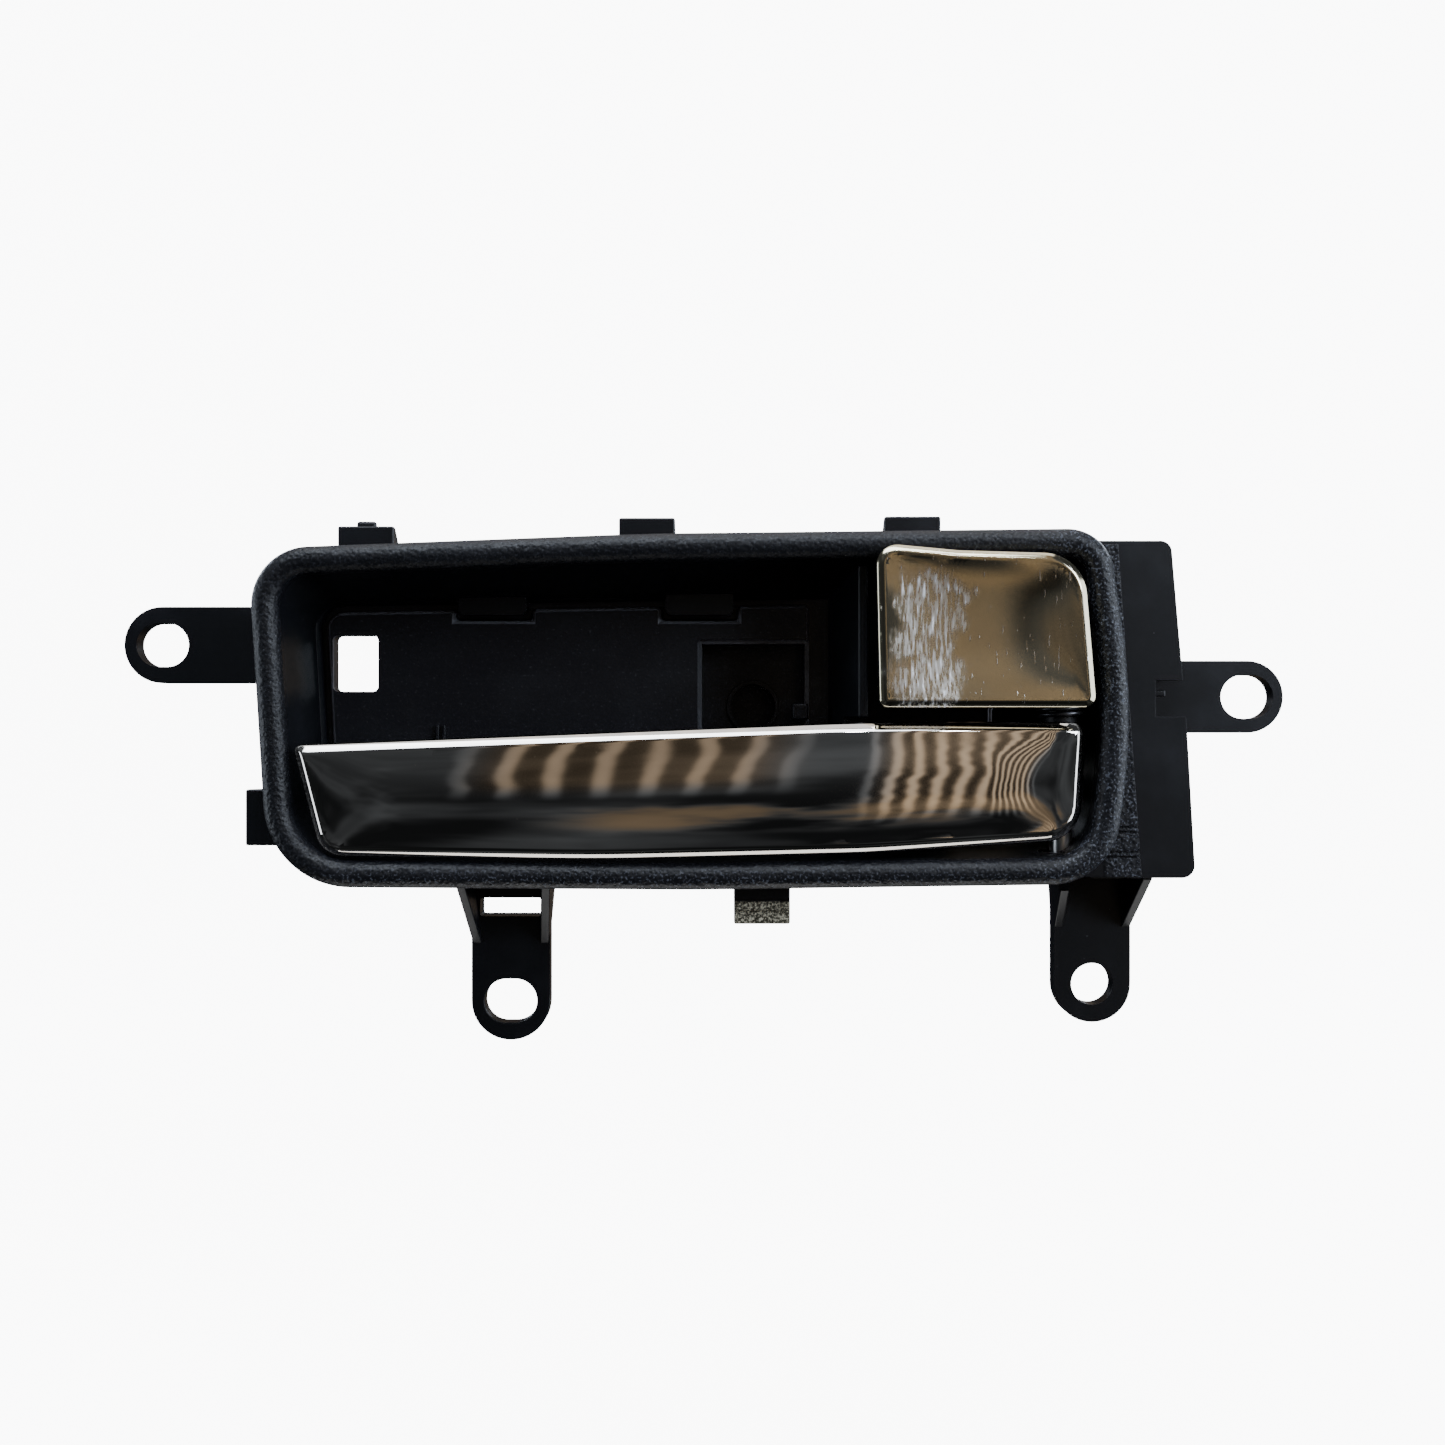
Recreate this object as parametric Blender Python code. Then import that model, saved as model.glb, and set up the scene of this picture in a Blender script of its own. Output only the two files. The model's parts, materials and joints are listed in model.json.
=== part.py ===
"""Interior door handle of a car: a moulded bezel with four screw tabs, a chromed
release lever and a chromed lock knob that turn on one upright steel pin.

X runs along the lever, Y runs into the door and Z is up. The origin is the centre
of the bezel, in the plane where the rim's back meets the door trim.
"""
import math

import bmesh
import bpy
from mathutils import Matrix, Vector

MM = 0.001
GAP = 0.3 * MM                      # clearance between pieces that touch
SKIM = 0.05 * MM                    # keeps joined faces from lying in one plane

# Rim and recess: corners are (x, z, radius, segments), counter-clockwise from the front
RIM_LEFT, RIM_RIGHT = -76.2 * MM, 76.0 * MM
RIM_TOP, RIM_BOTTOM = 31.2 * MM, -30.3 * MM
RIM_WIDTH = 4.7 * MM
RIM_STEP = 1.2 * MM                 # straight side of the rim below its round crest
RIM_CREST = 2.3 * MM                # height of the round crest above that
RIM_SEGMENTS = 6
WALL = 2.2 * MM
RECESS_DEPTH = 19.5 * MM            # from the rim's back to the back of the walls
WALL_DRAFT_TOP = 9.2 * MM           # how far each wall leans in from the rim's edge
WALL_DRAFT_BOTTOM = 6.7 * MM
WALL_DRAFT_LEFT = 6.3 * MM
WALL_DRAFT_RIGHT = 5.0 * MM

# Divider between the finger recess and the lock knob
DIVIDER_X = 30.6 * MM
DIVIDER_FRONT = 2.5 * MM
DIVIDER_EDGE = 1.7 * MM
DIVIDER_FOOT = 5.8 * MM
DIVIDER_LOW = -1.3 * MM
DIVIDER_BEHIND_LEVER = 10.5 * MM
BACK_WALL = 2.2 * MM

# Recess floor, a plate that seats on the back of the walls
FLOOR_GROOVE = 1.8 * MM
FLOOR_LIP = 1.4 * MM
FLOOR_PLATE = 2.2 * MM
FLOOR_RAISE = 1.7 * MM
WINDOW_X, WINDOW_Z = -62.5 * MM, 8.8 * MM
WINDOW_SIZE = 8.4 * MM
WINDOW_HIGH = 10.4 * MM
WELL_X, WELL_Z = 10.9 * MM, 2.4 * MM
WELL_WIDE, WELL_HIGH = 19.0 * MM, 20.0 * MM
WELL_DEPTH = 4.0 * MM
WELL_FLOOR = 2.0 * MM
WELL_HOLE = 8.4 * MM
WELL_BOSS_RADIUS = 6.2 * MM
WELL_BOSS_LENGTH = 6.0 * MM         # of the closed boss behind the well

# Screw tabs, each with the (x, z) place of its hole
TAB_THICK = 3.5 * MM
TAB_LEFT = (-97.4 * MM, 12.1 * MM)
TAB_RIGHT = (101.3 * MM, 2.6 * MM)
TAB_LOWER_LEFT = (-33.6 * MM, -53.1 * MM)
TAB_LOWER_RIGHT = (72.9 * MM, -50.0 * MM)
TAB_HALF = 7.0 * MM
TAB_HOLE = 7.6 * MM
TAB_SLOT = 1.6 * MM                 # how much longer than round the slotted holes are
TAB_RIB = 1.6 * MM
TAB_RIB_RISE = 11.0 * MM
TAB_RIB_ROOT = 5.0 * MM             # how far the right tab's rib reaches under the flange
TAB_WINDOW_DROP = 3.9 * MM          # from the rim's edge to the window in the lower left tab
TAB_WINDOW_HIGH = 3.4 * MM

# Right-hand flange and the step between it and the rim
FLANGE_FRONT, FLANGE_THICK = 4.5 * MM, 2.5 * MM
FLANGE_TOP, FLANGE_BOTTOM = RIM_TOP - 1.4 * MM, RIM_BOTTOM + 0.9 * MM
FLANGE_REACH_TOP, FLANGE_REACH_BOTTOM = 7.9 * MM, 12.2 * MM
STEP_FRONT = 1.4 * MM
STEP_REACH_TOP, STEP_REACH_BOTTOM = -2.2 * MM, 1.9 * MM
NOTCH_LEFT, NOTCH_TOP, NOTCH_LOW = 5.2 * MM, 5.3 * MM, -1.1 * MM

# Snap hooks outside the walls
HOOK_WIDE = 9.8 * MM
HOOK_FRONT, HOOK_BACK = 3.2 * MM, 9.4 * MM
HOOK_REACH = 4.3 * MM               # beyond the rim's edge
TOP_HOOKS = (-57.1 * MM, -8.0 * MM, 38.4 * MM)
BOTTOM_HOOK_X = 12.1 * MM
BOTTOM_HOOK_REACH = 7.0 * MM
LEFT_HOOK_Z = -18.7 * MM
TONGUES = (-37.0 * MM, 1.0 * MM)    # tongues that hold the top of the recess floor
TONGUE_WIDE = 12.4 * MM
TONGUE_REACH = 3.6 * MM
TONGUE_THICK = 1.5 * MM

# Upright pivot pin and the parts on it
PIN_X, PIN_Y = 64.5 * MM, 4.3 * MM
PIN_RADIUS = 2.0 * MM
PIN_TAIL = 1.9 * MM
PIN_HEAD_RADIUS, PIN_HEAD = 3.3 * MM, 1.0 * MM
BOSS_TOP, BOSS_BOTTOM = RIM_TOP - 2.6 * MM, RIM_BOTTOM + 2.3 * MM
PIN_TOP = BOSS_TOP + 0.4 * MM
BOSS_RADIUS = 5.8 * MM
BUSH_WALL = 1.3 * MM
BUSH_LENGTH = 3.2 * MM
CLIP_RADIUS, CLIP_THICK = 4.0 * MM, 0.8 * MM
HUB_RADIUS = 3.8 * MM
LEVER_HUB = (-15.9 * MM, -5.0 * MM)
LOCK_HUB = (2.2 * MM, 19.2 * MM)
SPACER_RADIUS = 3.2 * MM

# Release lever
LEVER_LEFT, LEVER_RIGHT = -68.5 * MM, 67.8 * MM
LEVER_TOP, LEVER_BOTTOM = -2.0 * MM, -25.3 * MM
LEVER_BOW = 1.5 * MM
LEVER_ROLL = 0.9 * MM               # how far the hinged end curls back
LEVER_ROLL_LENGTH = 6.5 * MM
LEVER_SPACING = 7.0 * MM            # between the points along its curved length
LEVER_EDGE_BACK = 0.2 * MM
LEVER_FRONT = 4.0 * MM
LEVER_SHELL = 1.5 * MM
CORE_INSET = 3.6 * MM
CORE_FRONT, CORE_BACK = -0.7 * MM, 3.0 * MM
SHELL_SCREWS = (-50.0 * MM, 28.0 * MM)
SHELL_SCREW_Z = -14.6 * MM
SHELL_POST_RADIUS = 2.6 * MM
SHELL_SCREW_RADIUS = 1.1 * MM
SHELL_SCREW_HEAD = 1.3 * MM

# Lock knob
LOCK_LEFT, LOCK_RIGHT = 31.0 * MM, 68.2 * MM
LOCK_TOP, LOCK_BOTTOM = 28.2 * MM, 0.4 * MM
LOCK_EDGE_BACK = -4.0 * MM
LOCK_FRONT = -7.0 * MM
LOCK_SHELL = 1.4 * MM
LOCK_CORE_INSET = 3.0 * MM
LOCK_CORE_BACK = -1.5 * MM
LOCK_WEB_RIGHT = 2.0 * MM           # the web stays clear of the recess's round corner
LOCK_WEB_SHORT = 2.5 * MM

# Cable arms, clips, stops and the cable bracket
ARM_WIDE, ARM_HIGH = 4.0 * MM, 4.0 * MM
ARM_LENGTH = 23.0 * MM
ARM_END_RADIUS = 4.2 * MM
ARM_ROOT = 2.6 * MM
LEVER_ARM_Z, LOCK_ARM_Z = -13.5 * MM, 17.0 * MM
ARM_SLOT_HIGH = 9.0 * MM
ARM_SLOT_LEFT, ARM_SLOT_RIGHT = 48.0 * MM, 68.6 * MM
CLIP_PIN_RADIUS = 2.2 * MM
CLIP_PIN_OVER = 1.2 * MM
STOP_FRONT, STOP_DEEP = 11.0 * MM, 5.0 * MM
STOP_HIGH = 5.0 * MM
STOP_WIDE = 1.6 * MM
BRACKET_SHEET = 1.5 * MM
BRACKET_X = 83.0 * MM
BRACKET_BASE_LEFT = 75.0 * MM
BRACKET_BASE_Y = 12.3 * MM
BRACKET_BACK = 30.5 * MM
BRACKET_EARS = ((-20.5 * MM, -6.5 * MM), (11.6 * MM, 23.0 * MM))
BRACKET_SCREWS = (-16.5 * MM, 18.5 * MM)
BRACKET_SCREW_X = 78.8 * MM
SCREW_RADIUS = 2.0 * MM
SCREW_HEAD_RADIUS, SCREW_HEAD = 3.6 * MM, 2.2 * MM
SCREW_BOSS_RADIUS = 4.0 * MM
CABLE_SLOT = 6.0 * MM
CABLE_SLOT_DEEP = 8.0 * MM

# Springs
SPRING_WIRE = 0.42 * MM
SPRING_TURNS = 3
SPRING_LOW = -1.35 * MM
SPRING_PITCH = 0.98 * MM
LEAF_THICK, LEAF_WIDE = 0.5 * MM, 5.0 * MM

ROUND = 24                          # sides of a round piece


# ---------------------------------------------------------------- outlines
def rim_corners():
    """The rim's outer edge; the right side bulges and the left side leans."""
    return [
        (RIM_LEFT + 3.6 * MM, RIM_BOTTOM, 15 * MM, 6),
        (0.0, RIM_BOTTOM - 0.5 * MM, 500 * MM, 1),
        (RIM_RIGHT - 4.2 * MM, RIM_BOTTOM + 0.5 * MM, 12 * MM, 6),
        (RIM_RIGHT, -1.0 * MM, 110 * MM, 3),
        (RIM_RIGHT - 4.8 * MM, RIM_TOP, 8 * MM, 5),
        (-8.0 * MM, RIM_TOP - 0.9 * MM, 600 * MM, 1),
        (RIM_LEFT, RIM_TOP - 3.5 * MM, 10 * MM, 5),
    ]


def recess_corners():
    """The inner edge of the walls at the back of the recess."""
    left, right = RIM_LEFT + WALL_DRAFT_LEFT, RIM_RIGHT - WALL_DRAFT_RIGHT
    top, bottom = RIM_TOP - WALL_DRAFT_TOP, RIM_BOTTOM + WALL_DRAFT_BOTTOM
    return [
        (left + 2.3 * MM, bottom, 9 * MM, 6),
        (0.0, bottom - 0.5 * MM, 500 * MM, 1),
        (right - 3.0 * MM, bottom + 0.4 * MM, 7 * MM, 6),
        (right, -1.0 * MM, 110 * MM, 3),
        (right - 2.0 * MM, top, 5 * MM, 5),
        (-8.0 * MM, top - 1.0 * MM, 600 * MM, 1),
        (left, top - 2.0 * MM, 5 * MM, 5),
    ]


def lever_corners():
    return [
        (LEVER_LEFT + 5.0 * MM, LEVER_BOTTOM + 0.4 * MM, 5.0 * MM, 4),
        (-16.0 * MM, LEVER_BOTTOM - 0.1 * MM, 400 * MM, 2),
        (30.0 * MM, LEVER_BOTTOM + 1.0 * MM, 200 * MM, 2),
        (LEVER_RIGHT - 1.4 * MM, LEVER_BOTTOM + 3.2 * MM, 6.5 * MM, 5),
        (LEVER_RIGHT, LEVER_TOP, 2.0 * MM, 3),
        (30.0 * MM, LEVER_TOP, 400 * MM, 2),
        (LEVER_LEFT, LEVER_TOP - 3.9 * MM, 1.2 * MM, 3),
    ]


def lock_corners():
    """The knob's outline; its top edge dips between a raised left corner and the right."""
    return [
        (LOCK_LEFT + 0.6 * MM, LOCK_BOTTOM, 1.5 * MM, 3),
        (LOCK_RIGHT, LOCK_BOTTOM, 2.0 * MM, 3),
        (LOCK_RIGHT - 2.2 * MM, LOCK_TOP - 1.9 * MM, 4.5 * MM, 5),
        (LOCK_LEFT + 14.0 * MM, LOCK_TOP - 1.3 * MM, 30 * MM, 2),
        (LOCK_LEFT, LOCK_TOP, 2.5 * MM, 4),
    ]


def turned(vector, angle):
    cosine, sine = math.cos(angle), math.sin(angle)
    return Vector((vector.x * cosine - vector.y * sine, vector.x * sine + vector.y * cosine))


def outline(corners, inset=0.0):
    """(x, z) points of a rounded outline, moved inwards by inset, with as many points at any inset."""
    points = []
    count = len(corners)
    for index, (x, z, radius, segments) in enumerate(corners):
        here = Vector((x, z))
        before = Vector(corners[index - 1][:2])
        after = Vector(corners[(index + 1) % count][:2])
        going, leaving = (here - before).normalized(), (after - here).normalized()
        normal_in = Vector((-going.y, going.x))
        normal_out = Vector((-leaving.y, leaving.x))
        corner = here + (normal_in + normal_out) * (inset / (1.0 + normal_in.dot(normal_out)))
        turn = math.atan2(going.x * leaving.y - going.y * leaving.x, going.dot(leaving))
        side = 1.0 if turn >= 0.0 else -1.0
        bend = max(radius - side * inset, 0.05 * MM)
        start = corner - going * (bend * math.tan(abs(turn) / 2.0))
        centre = start + normal_in * (side * bend)
        for step in range(segments + 1):
            points.append(centre + turned(start - centre, turn * step / segments))
    return points


def ring(corners, inset, y):
    """One closed ring of 3-D points at depth y."""
    return [Vector((p.x, y, p.y)) for p in outline(corners, inset)]


def bowed_ring(corners, inset, y, bow, spacing):
    """A ring whose depth follows bow(x), with points about every spacing along its long sides."""
    whole, moved = outline(corners), outline(corners, inset)
    points = []
    for index, here in enumerate(moved):
        following = moved[(index + 1) % len(moved)]
        length = (whole[(index + 1) % len(whole)] - whole[index]).length
        parts = max(1, round(length / spacing))
        for part in range(parts):
            spot = here.lerp(following, part / parts)
            points.append(Vector((spot.x, y + bow(spot.x), spot.y)))
    return points


# ---------------------------------------------------------------- solids
def make_object(name, mesh_data):
    """A new object from a bmesh, with its faces turned outwards."""
    bmesh.ops.recalc_face_normals(mesh_data, faces=mesh_data.faces)
    mesh = bpy.data.meshes.new(name)
    mesh_data.to_mesh(mesh)
    mesh_data.free()
    made = bpy.data.objects.new(name, mesh)
    bpy.context.scene.collection.objects.link(made)
    return made


def loft(name, rings, closed=False):
    """A solid through rings of equal count: capped at both ends, or closed on itself."""
    mesh_data = bmesh.new()
    rows = [[mesh_data.verts.new(point) for point in points] for points in rings]
    pairs = list(zip(rows, rows[1:]))
    if closed:
        pairs.append((rows[-1], rows[0]))
    else:
        mesh_data.faces.new(rows[0])
        mesh_data.faces.new(rows[-1])
    for low, high in pairs:
        for index in range(len(low)):
            following = (index + 1) % len(low)
            mesh_data.faces.new((low[index], low[following], high[following], high[index]))
    return make_object(name, mesh_data)


def split_caps(piece):
    """Splits the many-sided end faces into triangles, so that bowed ones keep their shape."""
    mesh_data = bmesh.new()
    mesh_data.from_mesh(piece.data)
    caps = [face for face in mesh_data.faces if len(face.verts) > 4]
    bmesh.ops.triangulate(mesh_data, faces=caps)
    mesh_data.to_mesh(piece.data)
    mesh_data.free()
    return piece


def plate(name, points, front, back):
    """A flat plate of an (x, z) outline between two depths."""
    return loft(name, [[Vector((p[0], y, p[1])) for p in points] for y in (front, back)])


def prism_z(name, points, low, high):
    """A prism of an (x, y) outline between two heights."""
    return loft(name, [[Vector((p[0], p[1], z)) for p in points] for z in (low, high)])


def prism_x(name, points, left, right):
    """A prism of a (y, z) outline between two x values."""
    return loft(name, [[Vector((x, p[0], p[1])) for p in points] for x in (left, right)])


def block(name, low, high):
    points = ((low[0], low[2]), (high[0], low[2]), (high[0], high[2]), (low[0], high[2]))
    return plate(name, points, low[1], high[1])


def circle(radius, centre=(0.0, 0.0), sides=ROUND):
    turns = [math.tau * step / sides for step in range(sides)]
    return [(centre[0] + radius * math.cos(t), centre[1] + radius * math.sin(t)) for t in turns]


def rod_z(name, x, y, radius, low, high, sides=ROUND):
    return prism_z(name, circle(radius, (x, y), sides), low, high)


def rod_y(name, x, z, radius, front, back, sides=ROUND):
    return plate(name, circle(radius, (x, z), sides), front, back)


def tube_z(name, x, y, outer, inner, low, high, sides=ROUND):
    """A tube round an upright axis."""
    sections = ((outer, low), (outer, high), (inner, high), (inner, low))
    rings = [[Vector((px, py, z)) for px, py in circle(r, (x, y), sides)] for r, z in sections]
    return loft(name, rings, closed=True)


def combine(target, piece, operation):
    """Applies a Boolean with the piece, which is used up."""
    cut = target.modifiers.new(operation.title(), "BOOLEAN")
    cut.operation = operation
    cut.solver = "EXACT"
    cut.object = piece
    with bpy.context.temp_override(object=target, active_object=target):
        bpy.ops.object.modifier_apply(modifier=cut.name)
    bpy.data.objects.remove(piece)


def add(target, *pieces):
    for piece in pieces:
        combine(target, piece, "UNION")


def cut(target, *pieces):
    for piece in pieces:
        combine(target, piece, "DIFFERENCE")


def slot_outline(x, z, radius, longer):
    """A round hole stretched by 'longer' along x."""
    return [(x + px + math.copysign(longer / 2.0, px), z + pz) for px, pz in circle(radius)]


# ---------------------------------------------------------------- finishing
FINISHES = {
    "black_moulding": ((0.012, 0.012, 0.014), 0.48, 0.0),
    "black_carrier": ((0.02, 0.02, 0.022), 0.55, 0.0),
    "chrome_shell": ((0.75, 0.74, 0.73), 0.06, 1.0),
    "bright_steel": ((0.55, 0.55, 0.54), 0.28, 1.0),
    "spring_steel": ((0.35, 0.35, 0.36), 0.32, 1.0),
    "zinc_steel": ((0.62, 0.62, 0.58), 0.36, 1.0),
    "natural_nylon": ((0.72, 0.69, 0.6), 0.5, 0.0),
    "black_rubber": ((0.02, 0.02, 0.02), 0.85, 0.0),
}


def material_for(name, look):
    colour, roughness, metallic = FINISHES[look]
    material = bpy.data.materials.new(f"{name}_{look}")
    material.use_nodes = True
    shader = material.node_tree.nodes["Principled BSDF"]
    shader.inputs["Base Color"].default_value = (*colour, 1.0)
    shader.inputs["Roughness"].default_value = roughness
    shader.inputs["Metallic"].default_value = metallic
    return material


def finish(piece, look, pivot=None, smooth_angle=35.0):
    """Gives the piece its material, smooth round faces and, if it turns, its origin on the pin."""
    piece.data.materials.clear()
    piece.data.materials.append(material_for(piece.name, look))
    piece.data.shade_smooth()
    piece.data.set_sharp_from_angle(angle=math.radians(smooth_angle))
    if pivot is not None:
        piece.data.transform(Matrix.Translation(-pivot))
        piece.location = pivot
    return piece


# ---------------------------------------------------------------- housing
def rim_profile():
    """(inset, y) points over the round crest of the rim, from its outer to its inner edge."""
    profile = []
    for step in range(RIM_SEGMENTS + 1):
        angle = math.pi * step / RIM_SEGMENTS
        inset = RIM_WIDTH * (1.0 - math.cos(angle)) / 2.0
        profile.append((inset, -RIM_STEP - RIM_CREST * math.sin(angle)))
    return profile


def wall_height(y, top=True):
    """Height of the top or bottom wall's middle at depth y."""
    share = (y + RIM_STEP) / (RECESS_DEPTH + RIM_STEP)
    if top:
        return RIM_TOP - RIM_WIDTH - (WALL_DRAFT_TOP - RIM_WIDTH) * share - 0.4 * MM
    return RIM_BOTTOM + RIM_WIDTH + (WALL_DRAFT_BOTTOM - RIM_WIDTH) * share - WALL / 2.0


def bezel():
    """The rim and the four walls behind it, one closed band."""
    rings = [ring(rim_corners(), 0.0, 0.0)]
    rings += [ring(rim_corners(), inset, y) for inset, y in rim_profile()]
    rings.append(ring(recess_corners(), 0.0, RECESS_DEPTH))
    rings.append(ring(recess_corners(), -WALL, RECESS_DEPTH))
    rings.append(ring(rim_corners(), RIM_WIDTH - WALL, 0.0))
    return loft("housing", rings, closed=True)


def recess_space():
    """The space inside the walls, used to clear what is added outside them."""
    rings = [
        ring(rim_corners(), RIM_WIDTH + SKIM, -10.0 * MM),
        ring(rim_corners(), RIM_WIDTH + SKIM, -RIM_STEP),
        ring(recess_corners(), SKIM, RECESS_DEPTH),
        ring(recess_corners(), SKIM, RECESS_DEPTH + 10.0 * MM),
    ]
    return loft("recess_space", rings)


def tab_outline(tip, root, half, lower=False):
    """A tab with a round tip about its hole; it runs from the root along x, or down when lower."""
    points = []
    for step in range(13):
        angle = math.pi * step / 12
        if lower:
            points.append((tip[0] - half * math.cos(angle), tip[1] - half * math.sin(angle)))
        else:
            side = math.copysign(1.0, tip[0] - root)
            points.append((tip[0] + side * half * math.sin(angle), tip[1] - half * math.cos(angle)))
    if lower:
        return points + [(tip[0] + half, root), (tip[0] - half, root)]
    return points + [(root, tip[1] + half), (root, tip[1] - half)]


def screw_tabs(housing):
    """Four flat tabs whose backs lie level with the back of the walls."""
    front, back = RECESS_DEPTH - TAB_THICK, RECESS_DEPTH
    left_root = RIM_LEFT + WALL_DRAFT_LEFT - WALL / 2.0
    right_root = RIM_RIGHT - WALL_DRAFT_RIGHT + WALL / 2.0
    low_root = RIM_BOTTOM + WALL_DRAFT_BOTTOM - WALL / 2.0
    add(
        housing,
        plate("tab", tab_outline(TAB_LEFT, left_root, TAB_HALF), front, back),
        plate("tab", tab_outline(TAB_RIGHT, right_root, TAB_HALF - 0.4 * MM), front, back),
        plate("tab", tab_outline(TAB_LOWER_LEFT, low_root, TAB_HALF + 0.2 * MM, True), front, back),
        plate("tab", tab_outline(TAB_LOWER_RIGHT, low_root, TAB_HALF, True), front, back),
    )
    for x, z in (TAB_LOWER_LEFT, TAB_LOWER_RIGHT):
        tall = RIM_BOTTOM - z - TAB_RIB_RISE
        profile = ((back - 0.5 * MM, low_root), (front - TAB_RIB_RISE, RIM_BOTTOM + 2.6 * MM),
                   (front - TAB_RIB_RISE, RIM_BOTTOM + 0.6 * MM), (back - 0.5 * MM, RIM_BOTTOM - tall))
        for side in (-1.0, 1.0):
            outer = x + side * (TAB_HALF - 0.1 * MM)
            inner = outer - side * TAB_RIB
            add(housing, prism_x("tab_rib", profile, min(inner, outer), max(inner, outer)))
    x, z = TAB_RIGHT
    top = z + TAB_HALF - 0.6 * MM
    flange_edge = RIM_RIGHT + FLANGE_REACH_TOP
    rib_left = flange_edge - TAB_RIB_ROOT
    profile = ((rib_left, FLANGE_FRONT + 1.0 * MM), (flange_edge + 1.2 * MM, FLANGE_FRONT + 1.0 * MM),
               (flange_edge + 6.6 * MM, back - 1.0 * MM), (rib_left, back - 1.0 * MM))
    add(housing, prism_z("tab_rib", profile, top - TAB_RIB, top))


def tab_holes(housing):
    front, back = RECESS_DEPTH - TAB_THICK - 1.0 * MM, RECESS_DEPTH + 1.0 * MM
    radius = TAB_HOLE / 2.0
    for x, z in (TAB_LEFT, TAB_RIGHT, TAB_LOWER_LEFT):
        cut(housing, plate("hole", slot_outline(x, z, radius + 0.2 * MM, TAB_SLOT), front, back))
    cut(housing, rod_y("hole", *TAB_LOWER_RIGHT, radius, front, back))
    x = TAB_LOWER_LEFT[0]
    half = TAB_HALF + 0.2 * MM - TAB_RIB
    high = RIM_BOTTOM - TAB_WINDOW_DROP
    cut(housing, block("tab_window", (x - half, front, high - TAB_WINDOW_HIGH), (x + half, back, high)))


def flange(housing):
    """The plate on the right that carries the cable bracket, with a step up to the rim."""
    root = RIM_RIGHT - 6.0 * MM
    reach = RIM_RIGHT + FLANGE_REACH_TOP, RIM_RIGHT + FLANGE_REACH_BOTTOM
    corners = [
        (root, FLANGE_BOTTOM, 0.1 * MM, 1),
        (reach[1], FLANGE_BOTTOM, 2.2 * MM, 4),
        (reach[0] + 2.8 * MM, -3.0 * MM, 300 * MM, 1),
        (reach[0], FLANGE_TOP, 2.0 * MM, 4),
        (root, FLANGE_TOP, 0.1 * MM, 1),
    ]
    back = FLANGE_FRONT + FLANGE_THICK
    add(housing, plate("flange", outline(corners), FLANGE_FRONT, back))
    step = (
        (root - 8.0 * MM, FLANGE_BOTTOM + 0.5 * MM),
        (RIM_RIGHT + STEP_REACH_BOTTOM, FLANGE_BOTTOM + 0.5 * MM),
        (RIM_RIGHT + STEP_REACH_TOP, FLANGE_TOP - 1.0 * MM),
        (root - 8.0 * MM, FLANGE_TOP - 1.0 * MM),
    )
    add(housing, plate("flange_step", step, STEP_FRONT, FLANGE_FRONT + 0.6 * MM))
    notch_end = (reach[1] + 1.0 * MM, back + 1.0 * MM, NOTCH_TOP)
    cut(housing, block("notch", (RIM_RIGHT + NOTCH_LEFT, 0.0, NOTCH_LOW), notch_end))
    x = BRACKET_SCREW_X
    hole_front, hole_back = FLANGE_FRONT + 1.2 * MM, BRACKET_BASE_Y + 1.0 * MM
    for z in BRACKET_SCREWS:
        add(housing, rod_y("screw_boss", x, z, SCREW_BOSS_RADIUS, back - 0.6 * MM, BRACKET_BASE_Y - GAP))
        cut(housing, rod_y("screw_hole", x, z, SCREW_RADIUS + GAP, hole_front, hole_back))


def hook_profile(edge, reach, side):
    """(y, distance) section of a snap hook whose barb stands clear of the rim's edge."""
    root = edge - side * 5.0 * MM
    return ((HOOK_FRONT, root), (HOOK_FRONT, edge + side * reach),
            (HOOK_FRONT + 1.6 * MM, edge + side * reach), (HOOK_BACK, edge), (HOOK_BACK + 3.0 * MM, root))


def snap_hooks(housing):
    for x in TOP_HOOKS:
        edge = RIM_TOP - 1.6 * MM + min(x, 0.0) * 0.03
        profile = hook_profile(edge, HOOK_REACH, 1.0)
        add(housing, prism_x("hook", profile, x - HOOK_WIDE / 2.0, x + HOOK_WIDE / 2.0))
    profile = hook_profile(RIM_BOTTOM, BOTTOM_HOOK_REACH, -1.0)
    add(housing, prism_x("hook", profile, BOTTOM_HOOK_X - HOOK_WIDE / 2.0, BOTTOM_HOOK_X + HOOK_WIDE / 2.0))
    edge = RIM_LEFT + 2.4 * MM
    profile = [(distance, y) for y, distance in hook_profile(edge, HOOK_REACH, -1.0)]
    add(housing, prism_z("hook", profile, LEFT_HOOK_Z - HOOK_WIDE / 2.0, LEFT_HOOK_Z + HOOK_WIDE / 2.0))


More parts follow.
